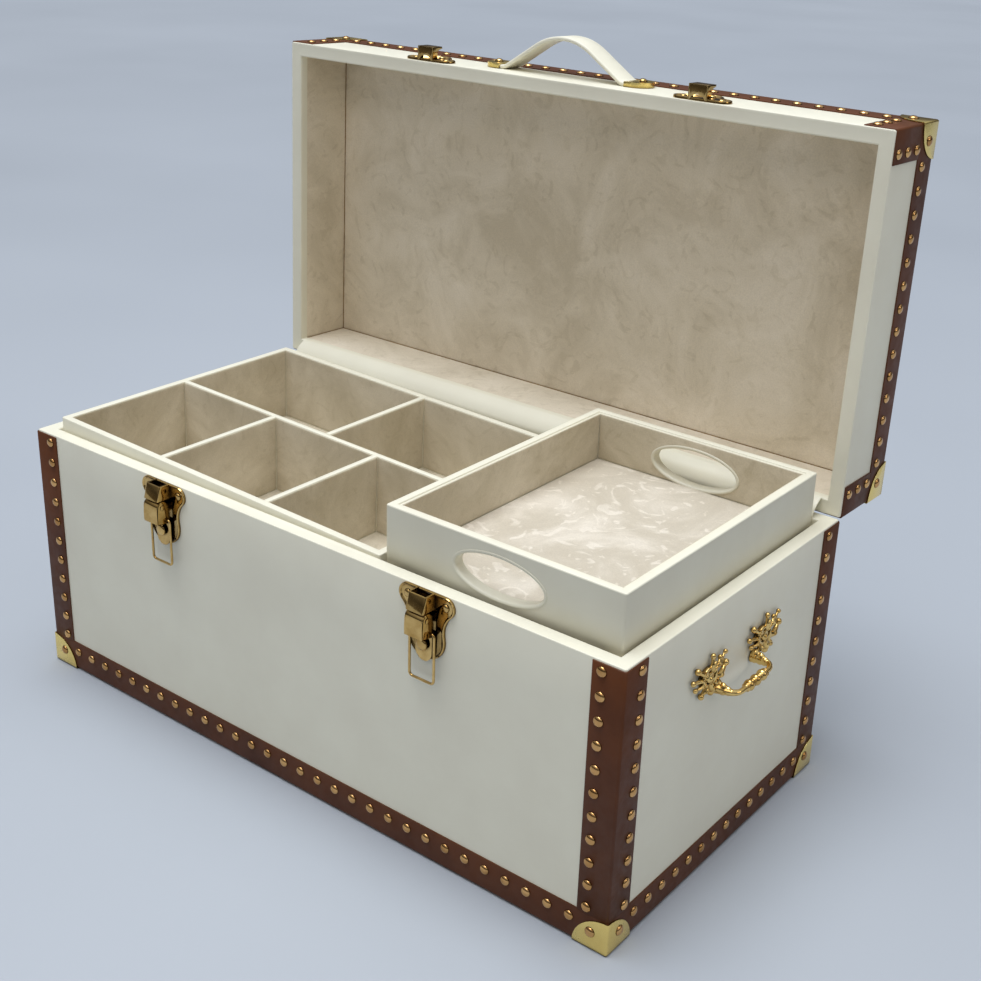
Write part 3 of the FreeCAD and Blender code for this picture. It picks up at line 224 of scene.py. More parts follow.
def floor_paper():
    """Matt backdrop paper: pale and even, with only a breath of unevenness."""
    material, tree, surface, place = start_finish("backdrop_paper", Roughness=0.85, Specular_IOR_Level=0.2)
    cloud = add(tree, "ShaderNodeTexNoise", {"Scale": per(900), "Detail": 2.0}, {"Vector": place})
    add(tree, "ShaderNodeValToRGB", links={0: cloud}, stops=((0.3, "#a9aeb4"), (0.7, "#b0b5bb")),
        into=surface["Base Color"])
    return material


# Cowhide: warm white with a low shine, saddle brown without a top coat, and on the tray's walls ivory
# deepened by painted shade. The tray's rim top is white, partly its own edging and partly painted light
WHITE = grained_leather("white_cowhide_finished", "#eeead5", "#e8e3ce", 0.46, 1.3, 0.05, 0.1)
# The tray's own ivory, darkened further as painted shade for its upright walls
IVORY_PAINTED_SHADE = grained_leather("ivory_cowhide_painted_shade", "#e0dcc8", "#d9d4bf", 0.44, 1.3, 0.05, 0.1)
BROWN = grained_leather("brown_cowhide_finished", "#633515", "#4d270e", 0.5, 1.1, 0.09, 0.0, 1.36)
# Suede: taupe in the base and the cells, paler in the lid and palest on the tray's floor, as painted light
SUEDE = brushed_suede("taupe_suede_brushed", "#ddd3bd", "#cec3ab", "#bfb398", 1.15, -0.07)
# Painted light: a paler copy of the same suede for the lid's lining, where more light falls
LID_SUEDE_PAINTED_LIGHT = brushed_suede("taupe_suede_painted_light", "#f0e5d1", "#e4d8c1", "#d3c6ad", 1.1, -0.09)
# Painted light: a paler copy of the suede for the tray's floor, which the light falls on from above
TRAY_SUEDE_PAINTED_LIGHT = brushed_suede("pale_suede_painted_light", "#e3daca", "#cac0ad", "#bdb29e", 1.0, 0.16)
# Brass: plated on the latches with painted brown shade in its gaps, brighter where cast, satin on the caps
BRASS = polished_metal("brass_plated_polished", "#dfbb78", "#ba9454", 0.07, 14, 13.0)
CAST_BRASS = polished_metal("brass_cast_polished", "#f2cf84", "#cda45c", 0.07, 14, 3.5)
NAIL_BRASS = polished_metal("brass_nail_pressed", "#dfb074", "#b88852", 0.12, 30, 4.0)
CAP_BRASS = polished_metal("brass_cap_satin", "#fde28e", "#f2d480", 0.22, 40, 4.0)
STEEL = polished_metal("steel_pin_drawn", "#b9b8b2", "#9c9b96", 0.3, 10, 5.0)
BOARD = sawn_plywood()
FELT = pressed_felt()
PAPER = floor_paper()


# Ways of making
def mesh_of(form, name):
    """The mesh that a form gives. The form ends here."""
    mesh = bpy.data.meshes.new(name)
    form.to_mesh(mesh)
    form.free()
    return mesh


def put(name, data):
    """A new object in the scene."""
    thing = bpy.data.objects.new(name, data)
    bpy.context.scene.collection.objects.link(thing)
    return thing


def hang(name, form, finish, body, stands_for=(), crisp=40.0):
    """Turns a form drawn in millimetres into a piece of the trunk that rides on a body."""
    bmesh.ops.remove_doubles(form, verts=form.verts, dist=0.001)
    bmesh.ops.recalc_face_normals(form, faces=form.faces)
    return hang_mesh(name, mesh_of(form, name), finish, body, stands_for, crisp)


def hang_mesh(name, mesh, finish, body, stands_for, crisp):
    """The same for a finished mesh in millimetres."""
    mesh.transform(TO_METRES @ PLACED.get(body, Matrix.Identity(4)))
    mesh.shade_smooth()
    mesh.set_sharp_from_angle(angle=radians(crisp))
    mesh.materials.clear()
    mesh.materials.append(finish)
    piece = put(name, mesh)
    if stands_for:
        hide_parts(*stands_for)
    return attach(piece, body)


def worked(form, *modifiers):
    """The mesh that a form becomes after modifiers, each given as its kind and its settings."""
    blank = put("work", mesh_of(form, "work"))
    for kind, settings in modifiers:
        modifier = blank.modifiers.new(kind, kind)
        for name, value in settings.items():
            setattr(modifier, name, value)
    done = bpy.data.meshes.new_from_object(blank.evaluated_get(bpy.context.evaluated_depsgraph_get()))
    bpy.data.objects.remove(blank)
    return done


def cutting_tool(form):
    """A form as an object that a difference modifier can take away."""
    bmesh.ops.recalc_face_normals(form, faces=form.faces)
    return put("tool", mesh_of(form, "tool"))


def taken_away(tool):
    """The modifier that cuts a tool out of a form."""
    return "BOOLEAN", {"operation": "DIFFERENCE", "solver": "EXACT", "object": tool}


def skin(form, rings, endless=False, ends=(True, True)):
    """Faces between closed rings of points, with the first and last ring filled or left open."""
    rows = [[form.verts.new(point) for point in ring] for ring in rings]
    pairs = list(zip(rows, rows[1:])) + ([(rows[-1], rows[0])] if endless else [])
    for low, high in pairs:
        for step in range(max(len(low), len(high))):
            places = ((low, step), (low, step + 1), (high, step + 1), (high, step))
            corners = [row[place % len(row)] for row, place in places]
            form.faces.new(list(dict.fromkeys(corners)))
    for row, filled in zip((rows[0], rows[-1]), ends):
        if filled and not endless and len(row) > 2:
            form.faces.new(row)


def rounded_loop(half_x, half_y, radius, z, centre):
    """Points round a rectangle with rounded corners, at a height."""
    points, steps = [], 5
    for turn, (side_x, side_y) in enumerate(((1, 1), (-1, 1), (-1, -1), (1, -1))):
        for step in range(steps + 1):
            angle = radians(90 * turn + 90 * step / steps)
            points.append(Vector((centre[0] + side_x * (half_x - radius) + radius * cos(angle),
                                  centre[1] + side_y * (half_y - radius) + radius * sin(angle), z)))
    return points


def wrapped(form, half_x, half_y, radius, profile, centre=(0.0, 0.0), endless=True, ends=(True, True)):
    """Leather folded over a rectangular wall: a profile of insets and heights, carried round the corners."""
    skin(form, [rounded_loop(half_x - inset, half_y - inset, max(radius - inset, 0.35), z, centre)
                for inset, z in profile], endless, ends)


def turned(form, centre, axis, profile, sides=24):
    """Round form on an axis, as from a lathe or a press. The profile gives radii and heights."""
    frame_of = Vector((0, 0, 1)).rotation_difference(Vector(axis)).to_matrix()
    rings = []
    for radius, height in profile:
        count = sides if radius > 0 else 1
        rings.append([Vector(centre) + frame_of @ Vector((radius * cos(2 * pi * step / count),
                                                          radius * sin(2 * pi * step / count), height))
                      for step in range(count)])
    skin(form, rings)


def swept(form, path, section, across, swell=None):
    """A section carried along a flat path. Across is the path's normal; a section steps aside and across."""
    across = Vector(across).normalized()
    path = [Vector(point) for point in path]
    rings = []
    for step, point in enumerate(path):
        ahead = path[step + 1] if step + 1 < len(path) else point
        behind = path[step - 1] if step else point
        aside = (ahead - behind).normalized().cross(across)
        size = swell[step] if swell else 1.0
        rings.append([point + aside * a * size + across * b * size for a, b in section])
    skin(form, rings)


def circle(radius, sides):
    """Round section."""
    return [(radius * cos(2 * pi * step / sides), radius * sin(2 * pi * step / sides))
            for step in range(sides)]


def bar(form, low, high, soften):
    """Rectangular bar between two corners, its edges softened."""
    low, high = Vector(low), Vector(high)
    made = bmesh.ops.create_cube(form, size=1.0, matrix=Matrix.Translation((low + high) / 2)
                                 @ Matrix.Diagonal((high - low).to_4d()))
    edges = list({edge for vert in made["verts"] for edge in vert.link_edges})
    bmesh.ops.bevel(form, geom=edges, offset=soften, segments=2, profile=0.5, affect="EDGES")


def mirrored(points):
    """The same flat points on the other side of the middle, in reverse."""
    return [(-across, along) for across, along in points[::-1]]


def slab(form, outline, thickness, soften):
    """Flat plate from an outline, thickened along a vector, its edges softened."""
    points = [Vector(point) for point in outline]
    offset = Vector(thickness)
    low = [form.verts.new(point) for point in points]
    high = [form.verts.new(point + offset) for point in points]
    faces = [form.faces.new(low), form.faces.new(high)]
    for step in range(len(points)):
        after = (step + 1) % len(points)
        faces.append(form.faces.new((low[step], low[after], high[after], high[step])))
    rims = [edge for face in faces[:2] for edge in face.edges]
    bmesh.ops.bevel(form, geom=rims, offset=soften, segments=2, profile=0.5, affect="EDGES")


def oval_points(centre, radius_a, radius_b, angles):
    """Points on an oval, at angles in degrees."""
    return [(centre[0] + radius_a * cos(radians(angle)),
             centre[1] + radius_b * sin(radians(angle))) for angle in angles]


def arc_points(centre, radius, start, end, count):
    """Points in even steps along a round arc, with angles in degrees."""
    angles = [start + (end - start) * step / count for step in range(count + 1)]
    return oval_points(centre, radius, radius, angles)


def pad(form, corner, along, across, seed, puff=0.3):
    """One lined face: suede on thin card, its edges drawn down into the seams and its middle uneven."""
    card, seam, border, patch, wave_length, seam_falls = 1.1, 0.5, 1.6, 14, 45, (0.2, 0.06)
    corner, along, across = Vector(corner), Vector(along), Vector(across)
    run, climb = along.normalized(), across.normalized()
    out = along.cross(across).normalized()
    ways = []
    for length in (along.length, across.length):
        count = max(2, round(length / patch))
        inner = [border + (length - 2 * border) * step / count for step in range(count + 1)]
        ways.append([0.0, seam] + inner + [length - seam, length])

    def fall(place, way):
        from_edge = min(place, len(way) - 1 - place)
        return seam_falls[from_edge] if from_edge < len(seam_falls) else 0.0

    grid = []
    for i, u in enumerate(ways[0]):
        row = []
        for j, v in enumerate(ways[1]):
            drawn = max(fall(i, ways[0]), fall(j, ways[1]))
            spot = corner + run * u + climb * v
            wave = 0.0 if drawn else noise.noise(spot / wave_length + Vector((seed, seed, seed))) * puff
            row.append(form.verts.new(spot + out * (wave - puff - drawn)))
        grid.append(row)
    for low, high in zip(grid, grid[1:]):
        for j in range(len(low) - 1):
            form.faces.new((low[j], high[j], high[j + 1], low[j + 1]))
    rim = grid[0][:-1] + [row[-1] for row in grid[:-1]] + grid[-1][:0:-1] + [row[0] for row in grid[:0:-1]]
    back = [form.verts.new(corner + run * (vert.co - corner).dot(run) + climb * (vert.co - corner).dot(climb)
                           - out * card) for vert in rim]
    for step in range(len(rim)):
        after = (step + 1) % len(rim)
        form.faces.new((rim[step], back[step], back[after], rim[after]))
    form.faces.new(back)


def lined_well(form, low, high, seed, opened=(), ground=None):
    """Four walls and a floor of suede, seen from inside, between two corners. What opens the front and the
    back wall is given as modifiers, and a floor that is a sheet of its own gets its own form."""
    (x0, y0, z0), (x1, y1, z1) = low, high
    wide, deep, tall = x1 - x0, y1 - y0, z1 - z0
    pad(ground or form, (x0, y0, z0), (wide, 0, 0), (0, deep, 0), seed)
    for corner, along, step in (((x1, y0, z0), (-wide, 0, 0), 1), ((x0, y1, z0), (wide, 0, 0), 2)):
        wall = bmesh.new()
        pad(wall, corner, along, (0, 0, tall), seed + step)
        bmesh.ops.recalc_face_normals(wall, faces=wall.faces)
        form.from_mesh(worked(wall, *opened))
    pad(form, (x0, y0, z0), (0, deep, 0), (0, 0, tall), seed + 3)
    pad(form, (x1, y1, z0), (0, -deep, 0), (0, 0, tall), seed + 4)


# Covers and linings
def cover_base_and_lid():
    """White leather over both boxes, rolled over the rims and turned in."""
    bend = 1.6
    fold = [(0, 0.8), (0.12, 0.35), (0.4, 0.08), (0.9, 0), (2.4, 0.1), (3.2, 0.18), (9.4, 0.18), (10.2, 0.12),
            (10.9, 0), (11.6, 0.3), (RIM_WIDTH, 1.2)]
    form = bmesh.new()
    turn = BASE_RIM - LINING_TOP_DROP
    wrapped(form, BODY_X, BODY_Y, bend,
            [(0, BASE_FOOT), (0, 60), (0, 120), (0, 180)] + [(inset, BASE_RIM - fall) for inset, fall in fold]
            + [(RIM_WIDTH, turn), (10.8, turn - 0.4), (10.2, turn), (1.4, BASE_RIM - 6), (1.2, BASE_FOOT)])
    hang("base_cover_leather", form, WHITE, "base", ("base_leather_cover",), 60)
    form = bmesh.new()
    turn = LID_RIM + LINING_TOP_DROP
    wrapped(form, BODY_X, BODY_Y, bend,
            [(10.2, turn), (10.8, turn + 0.4), (RIM_WIDTH, turn)]
            + [(inset, LID_RIM + fall) for inset, fall in fold[::-1]]
            + [(0, 250), (0, LID_TOP - bend), (0.3, LID_TOP - 0.6), (bend, LID_TOP), (20, LID_TOP)],
            endless=False, ends=(False, True))
    hang("lid_cover_leather", form, WHITE, "lid", ("lid_leather_cover",), 60)


def line_wells():
    """Suede in the lid and in the base."""
    form = bmesh.new()
    inner_x, inner_y = BODY_X - RIM_WIDTH + 0.1, BODY_Y - RIM_WIDTH + 0.1
    rim = LID_RIM + LINING_TOP_DROP
    wide, deep, tall = 2 * inner_x, 2 * inner_y, LID_CEILING - rim
    pad(form, (-inner_x, -inner_y, LID_CEILING), (0, deep, 0), (wide, 0, 0), 3.1, 0.45)
    pad(form, (-inner_x, -inner_y, rim), (0, 0, tall), (wide, 0, 0), 7.7)
    pad(form, (-inner_x, inner_y, rim), (wide, 0, 0), (0, 0, tall), 11.3)
    pad(form, (-inner_x, -inner_y, rim), (0, deep, 0), (0, 0, tall), 15.9)
    pad(form, (inner_x, inner_y, rim), (0, -deep, 0), (0, 0, tall), 19.2)
    # Painted light: the lid's lining takes the paler copy of the suede
    hang("lid_lining_suede", form, LID_SUEDE_PAINTED_LIGHT, "lid", ("lid_lining",), 50)
    form = bmesh.new()
    lined_well(form, (-inner_x, -inner_y, WELL_FLOOR), (inner_x, inner_y, BASE_RIM - LINING_TOP_DROP), 23.4)
    hang("base_lining_suede", form, SUEDE, "base", ("base_lining",), 50)


def close_hinge_gap():
    """White leather strip from the base's back rim to the open lid's, swelling between its glued edges."""
    near = Vector((0, BODY_Y - RIM_WIDTH - 0.4, BASE_RIM + 0.3))
    far = PLACED["lid"] @ Vector((0, BODY_Y - RIM_WIDTH, LID_RIM))
    rise = (far - near).normalized()
    normal = Vector((0, -rise.z, rise.y))
    tail, swell, thick, edge_thick, half, ripple = 6.4, 1.7, 0.9, 0.45, 282.0, 0.12
    line = [Vector((0, near.y, BASE_RIM - tail)), Vector((0, near.y, BASE_RIM - 2)), near]
    for step in range(1, 9):
        share = step / 8
        line.append(near.lerp(far, share) + normal * (0.25 + swell * sin(pi * share)))
    inner = [-half + 1.5 + (2 * half - 3) * step / 40 for step in range(41)]
    form = bmesh.new()
    rings = []
    for x in [-half, -half + 0.6] + inner + [half - 0.6, half]:
        at_end = abs(x) == half
        wave = 0.0 if at_end else ripple * noise.noise(Vector((x / 60, 3.0, 5.0)))
        front = [point + Vector((x, 0, 0)) + normal * wave for point in line]
        back = [point + normal * (edge_thick if at_end else thick) for point in front]
        rings.append(front + back[::-1])
    skin(form, rings)
    strip = hang("gusset_leather", form, WHITE, "base", ("hinge_gusset",), 50)
    strip.parent = None
    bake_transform(strip)


# Trims, caps and nails
def fold_trims():
    """Brown leather strips folded over the edges: four upright corners and four long edges on each box."""
    bend, cut_edge, under = 1.9, 0.35, 0.1

    def corner_strip(form, side_x, side_y, low, high):
        reach_x, reach_y = TRIM_X - TRIM_WIDE, TRIM_Y - TRIM_WIDE
        outline = [(reach_x, TRIM_Y - 0.15), (reach_x + 0.5, TRIM_Y)]
        outline += arc_points((TRIM_X - bend, TRIM_Y - bend), bend, 90, 0, 5)
        outline += [(TRIM_X, reach_y + 0.5), (TRIM_X - 0.15, reach_y), (BODY_X - under, reach_y)]
        outline += [(BODY_X - under, BODY_Y - 1), (BODY_X - 1, BODY_Y - under), (reach_x, BODY_Y - under)]
        rings = []
        for z, shrink in ((low, cut_edge), (low + cut_edge, 0), (high - cut_edge, 0), (high, cut_edge)):
            rings.append([Vector((side_x * (x - shrink * (x > BODY_X)),
                                  side_y * (y - shrink * (y > BODY_Y)), z)) for x, y in outline])
        skin(form, rings)

    def edge_strip(form, along_x, side, upside):
        """L section along one horizontal edge. Upside is 1 for the lid's top and -1 for the base's foot."""
        band = [(under, TRIM_HIGH), (-0.85, TRIM_HIGH), (-TRIM_THICK, TRIM_HIGH - 0.5), (-TRIM_THICK, bend)]
        band += oval_points((bend - TRIM_THICK, bend), -bend, -bend, (22.5, 45, 67.5))
        reach = TRIM_WIDE - TRIM_THICK
        band += [(0.9, 0.0), (reach - 0.5, 0.0), (reach, 0.15), (reach, 1.1), (under, 1.1)]
        level = (1.0 if upside < 0 else LID_TOP + 1.0) - upside * (0.0 if along_x else 0.04)
        half = (TRIM_X if along_x else TRIM_Y) - 0.3
        edge = BODY_Y if along_x else BODY_X
        rings = []
        for run in (-half, half):
            places = [(side * (edge - inset), level - upside * rise) for inset, rise in band]
            rings.append([Vector((run, cross, z) if along_x else (cross, run, z)) for cross, z in places])
        skin(form, rings)

    for body, low, high, upside, edges in (
            ("base", TRIM_HIGH + 0.15, 221.5, -1, "base_bottom_trims"),
            ("lid", LID_RIM + 1.5, LID_TOP + 1 - TRIM_HIGH - 0.15, 1, "lid_top_trims")):
        form = bmesh.new()
        for side_x, side_y in CORNERS:
            corner_strip(form, side_x, side_y, low, high)
        hang(body + "_corner_trim_leather", form, BROWN, body, (body + "_corner_trims",), 55)
        form = bmesh.new()
        for side in SIDES:
            edge_strip(form, True, side, upside)
            edge_strip(form, False, side, upside)
        hang(body + "_edge_trim_leather", form, BROWN, body, (edges,), 55)


def press_caps():
    """Brass corner caps: three leaves pressed from one sheet, with softly rounded edges."""
    thick, fold_radius, softened = 1.0, 1.5, 0.3
    curve = oval_points((0, 0), CAP_LONG, CAP_HIGH, (3, 10, *range(18, 91, 8)))
    inside = Vector((12, 12, 12))
    for body, upside, level in (("base", 1, 0.0), ("lid", -1, LID_TOP + 2.0)):
        form = bmesh.new()
        for side_x, side_y in CORNERS:
            sheet = bmesh.new()
            front = [sheet.verts.new((a, 0, z)) for a, z in curve]
            side = [sheet.verts.new((0, a, z)) for a, z in curve[:-1]] + [front[-1]]
            foot = sheet.verts.new((0, 0, 0))
            toe_x, toe_y = sheet.verts.new((CAP_LONG, 0, 0)), sheet.verts.new((0, CAP_LONG, 0))
            flat = [sheet.verts.new((x, y, 0)) for x, y in
                    arc_points((CAP_LONG - CAP_CUT, CAP_LONG - CAP_CUT), CAP_CUT, 0, 90, 10)]
            sheet.faces.new([foot, toe_x] + front)
            sheet.faces.new([foot] + side[::-1] + [toe_y])
            sheet.faces.new([foot, toe_y] + flat[::-1] + [toe_x])
            folds = [edge for edge in sheet.edges if len(edge.link_faces) == 2]
            bmesh.ops.bevel(sheet, geom=folds, offset=fold_radius, segments=3, profile=0.5, affect="EDGES")
            bmesh.ops.recalc_face_normals(sheet, faces=sheet.faces)
            if sum(face.normal.dot(face.calc_center_median() - inside) for face in sheet.faces) < 0:
                bmesh.ops.reverse_faces(sheet, faces=sheet.faces)
            mesh = worked(sheet, ("SOLIDIFY", {"thickness": thick, "offset": -1.0}),
                          ("BEVEL", {"width": softened, "segments": 2, "angle_limit": radians(50)}))
            mesh.transform(Matrix.Translation((side_x * CAP_X, side_y * CAP_Y, level))
                           @ Matrix.Diagonal((-side_x, -side_y, upside, 1)))
            form.from_mesh(mesh)
        hang(body + "_cap_brass", form, CAP_BRASS, body, (body + "_corner_caps",), 35)


def drive_nails():
    """Domed upholstery nails in even rows along the trims and in the caps."""
    dome = [(NAIL_RADIUS - 0.3, -0.3), (NAIL_RADIUS, 0.12), (3.86, 0.62), (3.4, 1.16), (2.7, 1.62),
            (1.8, 1.96), (0.9, 2.14), (0, NAIL_RISE)]
    from_edge, trim_top, cap_top, upward = 18.4, LID_TOP + 1, LID_TOP + 2, (0, 0, 1)

    def row(first, last, count):
        return [first + (last - first) * step / (count - 1) for step in range(count)]

    def round_edges(height, inset=0.0):
        """A row along each of the four edges, in the walls or, where it is set in, on the lid's top."""
        spots = []
        for side in SIDES:
            spots += [((x, side * (TRIM_Y - inset), height), upward if inset else (0, side, 0))
                      for x in row(*LONG_ROW)]
            spots += [((side * (TRIM_X - inset), y, height), upward if inset else (side, 0, 0))
                      for y in row(*SHORT_ROW)]
        return spots

    def beside_corners(half_x, half_y, inset, heights):
        """Nails in both walls of each upright corner."""
        spots = []
        for side_x, side_y in CORNERS:
            for z in heights:
                spots.append(((side_x * (half_x - inset), side_y * half_y, z), (0, side_y, 0)))
                spots.append(((side_x * half_x, side_y * (half_y - inset), z), (side_x, 0, 0)))
        return spots

    on_top = [((side_x * (CAP_X - CAP_NAIL_INSET), side_y * (CAP_Y - CAP_NAIL_INSET), cap_top), upward)
              for side_x, side_y in CORNERS]
    sets = {
        "base_trim_nails": round_edges(from_edge)
        + beside_corners(TRIM_X, TRIM_Y, NAIL_INSET, row(32.2, 215.5, 11)),
        "lid_trim_nails": round_edges(trim_top - from_edge)
        + beside_corners(TRIM_X, TRIM_Y, NAIL_INSET, row(LID_RIM + 8.2, LID_RIM + 40.2, 3))
        + round_edges(trim_top, NAIL_INSET),
        "base_cap_nails": beside_corners(CAP_X, CAP_Y, CAP_NAIL_INSET, [CAP_NAIL_INSET]),
        "lid_cap_nails": beside_corners(CAP_X, CAP_Y, CAP_NAIL_INSET, [cap_top - CAP_NAIL_INSET]) + on_top,
    }
    for node, spots in sets.items():
        form = bmesh.new()
        for centre, axis in spots:
            turned(form, centre, axis, dome, 16)
        hang(node + "_domed", form, NAIL_BRASS, node.split("_")[0], (node,), 70)


# Tray and insert
def cover_tray():
    """Lift-out tray: leather over the walls with a hand hole front and back, suede inside."""
    centre = ((TRAY_LEFT + TRAY_RIGHT) / 2, (TRAY_FRONT + TRAY_BACK) / 2)
    half_x, half_y = (TRAY_RIGHT - TRAY_LEFT) / 2, (TRAY_BACK - TRAY_FRONT) / 2
    hole_x, hole_z, hole_height = HAND_HOLE

    def hole_ring(grow, y):
        return [Vector((centre[0] + x * (hole_x + grow), y, hole_height + z * (hole_z + grow)))
                for x, z in circle(1.0, 48)]

    cutter = bmesh.new()
    skin(cutter, [hole_ring(0.0, -400), hole_ring(0.0, 400)])
    hole = cutting_tool(cutter)
    opened = taken_away(hole)

    form = bmesh.new()
    top, foot, bend = TRAY_TOP, TRAY_FOOT, 1.5
    wrapped(form, half_x, half_y, bend,
            [(0.5, foot), (0, foot + 0.6), (0, foot + 24), (0, top - 1.0), (0.8, top - 0.8), (5.4, top - 0.8),
             (7.9, top - 1.6), (7.9, foot)], centre)
    bmesh.ops.recalc_face_normals(form, faces=form.faces)
    # Painted shade: the upright walls take the darkened ivory
    hang_mesh("tray_walls_leather", worked(form, opened), IVORY_PAINTED_SHADE, "tray",
              ("tray_front_wall", "tray_back_wall", "tray_end_walls"), 50)
    form = bmesh.new()
    wrapped(form, half_x, half_y, bend,
            [(inset, top - drop) for inset, drop in
             ((0, 1.0), (0.12, 0.4), (0.4, 0.1), (0.9, 0), (5.5, 0), (5.9, 0.15), (6.1, 0.6), (6.2, 1.4),
              (6.5, 1.4), (6.6, 1.05), (7.0, 0.85), (7.6, 0.9), (7.88, 1.3), (7.88, 1.9), (6.0, 1.9),
              (0.5, 1.5))], centre)
    # Partly painted light: the rim's top takes the white, brighter where the light falls on it
    hang("tray_edge_leather", form, WHITE, "tray", (), 50)
    form, ground = bmesh.new(), bmesh.new()
    floor_high, lining_drop = 9.0, 1.3
    lined_well(form, (TRAY_LEFT + TRAY_FACE, TRAY_FRONT + TRAY_FACE, foot + floor_high),
               (TRAY_RIGHT - TRAY_FACE, TRAY_BACK - TRAY_FACE, top - lining_drop), 31.6, (opened,), ground)
    hang("tray_lining_suede", form, SUEDE, "tray", ("tray_lining",), 50)
    # Painted light: the floor takes the paler suede copy, while the walls keep the plain one
    hang("tray_floor_suede", ground, TRAY_SUEDE_PAINTED_LIGHT, "tray", (), 50)
    bpy.data.objects.remove(hole)

    form = bmesh.new()
    lip = [(1.6, 0.0), (1.5, -0.35), (0.7, -0.55), (-0.4, -0.3), (-1.1, 0.6), (-1.2, 2.0)]
    inner_lip = [(-1.2, -2.0), (-1.1, -0.6), (-0.5, 0.2), (0.5, 0.55), (1.4, 0.4), (1.8, -0.1), (1.8, -0.5)]
    for outer, inward in ((TRAY_FRONT, 1), (TRAY_BACK, -1)):
        inner = outer + inward * TRAY_FACE
        rings = [hole_ring(grow, outer + inward * step) for grow, step in lip]
        rings += [hole_ring(grow, inner + inward * step) for grow, step in inner_lip]
        skin(form, rings, ends=(False, False))
    hang("tray_hand_hole_edges", form, IVORY_PAINTED_SHADE, "tray", (), 60)


def cover_insert():
    """Divided insert: white leather over every wall top, suede in the five cells."""
    centre = ((INSERT_LEFT + INSERT_RIGHT) / 2, (INSERT_FRONT + INSERT_BACK) / 2)
    half_x, half_y = (INSERT_RIGHT - INSERT_LEFT) / 2, (INSERT_BACK - INSERT_FRONT) / 2
    top, foot = INSERT_TOP, INSERT_FOOT
    form = bmesh.new()
    wrapped(form, half_x, half_y, 1.8,
            [(0.4, foot), (0, foot + 0.5), (0, foot + 36)]
            + [(inset, top - drop) for inset, drop in
               ((0, 0.9), (0.12, 0.35), (0.45, 0.05), (0.9, 0), (5.5, 0), (5.9, 0.08), (6.15, 0.35),
                (6.2, 0.9))]
            + [(6.2, foot)], centre)
    inside, board, lining_high, lining_drop, under_top, divider_end = 6.1, 5, 6.0, 1.1, 0.04, 5.8
    bar(form, (INSERT_LEFT + inside, INSERT_FRONT + inside, foot),
        (INSERT_RIGHT - inside, INSERT_BACK - inside, foot + board), 0.3)
    hang("insert_walls_leather", form, WHITE, "insert", ("insert_box",), 50)

    left, right = INSERT_LEFT + DIVIDER, INSERT_RIGHT - DIVIDER
    front, back = INSERT_FRONT + DIVIDER, INSERT_BACK - DIVIDER
    cell_deep = (back - front - DIVIDER) / 2
    half_edging = [(2.1, top - 0.02), (2.45, top - 0.3), (2.6, top - 0.8), (2.6, foot + board)]
    edging = mirrored(half_edging) + half_edging
    long_middle = front + cell_deep + DIVIDER / 2
    form = bmesh.new()
    skin(form, [[Vector((x, long_middle + a, z)) for a, z in edging]
                for x in (INSERT_LEFT + divider_end, INSERT_RIGHT - divider_end)])
    hang("insert_long_divider_leather", form, WHITE, "insert", ("insert_long_divider",), 50)
    suede = bmesh.new()
    seed = 41.0
    for place, row_front, row_back, count in (("front", front, front + cell_deep, 3),
                                              ("back", back - cell_deep, back, 2)):
        cell_wide = (right - left - (count - 1) * DIVIDER) / count
        form = bmesh.new()
        for step in range(count):
            cell_left = left + step * (cell_wide + DIVIDER)
            lined_well(suede, (cell_left, row_front, foot + lining_high),
                       (cell_left + cell_wide, row_back, top - lining_drop), seed)
            seed += 6.3
            if step:
                middle = cell_left - DIVIDER / 2
                skin(form, [[Vector((middle + a, y, z - under_top)) for a, z in edging]
                            for y in (row_front - 1, row_back + 1)])
        node = "insert_" + place + "_divider"
        hang(node + "_leather", form, WHITE, "insert", (node + "s",), 50)
    hang("insert_lining_suede", suede, SUEDE, "insert", ("insert_cell_linings",), 50)


# Latches
def pear_outline(half_spread, lobe_z, lobe, foot_z, foot, waist, flip=1):
    """Outline of a pressed plate: two lobes beside a straight edge, a waist and a round foot, as x and z."""
    lobe_at, foot_at = Vector((half_spread, lobe_z)), Vector((0, foot_z))
    gap = lobe_at - foot_at
    near, far, span = foot + waist, lobe + waist, gap.length
    along = (near ** 2 - far ** 2 + span ** 2) / (2 * span)
    way = gap.normalized()
    waist_at = foot_at + way * along + Vector((way.y, -way.x)) * sqrt(near ** 2 - along ** 2)

    def angle(start, end):
        return degrees(atan2(end.y - start.y, end.x - start.x))

    right = arc_points(lobe_at, lobe, 90, angle(lobe_at, waist_at), 14)
    start, end = angle(waist_at, lobe_at), angle(waist_at, foot_at)
    while end - start > 180:
        end -= 360
    while start - end > 180:
        end += 360
    right += arc_points(waist_at, waist, start, end, 12)[1:]
    right += arc_points(foot_at, foot, angle(foot_at, waist_at), -90, 10)[1:]
    return [(x, flip * z) for x, z in right + mirrored(right[:-1])]


def rolled_plate(form, outline, shift):
    """Thin pressed plate with a raised rolled rim, against the trunk's front."""
    points = [Vector(point) for point in outline]
    area = sum(a.x * b.y - b.x * a.y for a, b in zip(points, points[1:] + points[:1]))
    normals = []
    for step in range(len(points)):
        way = points[(step + 1) % len(points)] - points[step - 1]
        inward = Vector((-way.y, way.x)) if area > 0 else Vector((way.y, -way.x))
        normals.append(inward.normalized())
    profile = [(0.0, 0.05), (0.0, 1.5), (0.25, 2.05), (0.85, 2.3), (1.4, 2.1), (1.8, 1.55),
               (2.2, PLATE_THICK)]
    skin(form, [[Vector((shift + point.x + normal.x * inset, -BODY_Y - rise, point.y + normal.y * inset))
                 for point, normal in zip(points, normals)] for inset, rise in profile])


def pair_of_cheeks(form, middle, near, far, outline, soften):
    """Two upright plates left and right of a latch's middle. Their outline gives y from the wall and z."""
    for side in SIDES:
        low, high = sorted((side * near, side * far))
        slab(form, [(middle + low, y - BODY_Y, z) for y, z in outline], (high - low, 0, 0), soften)


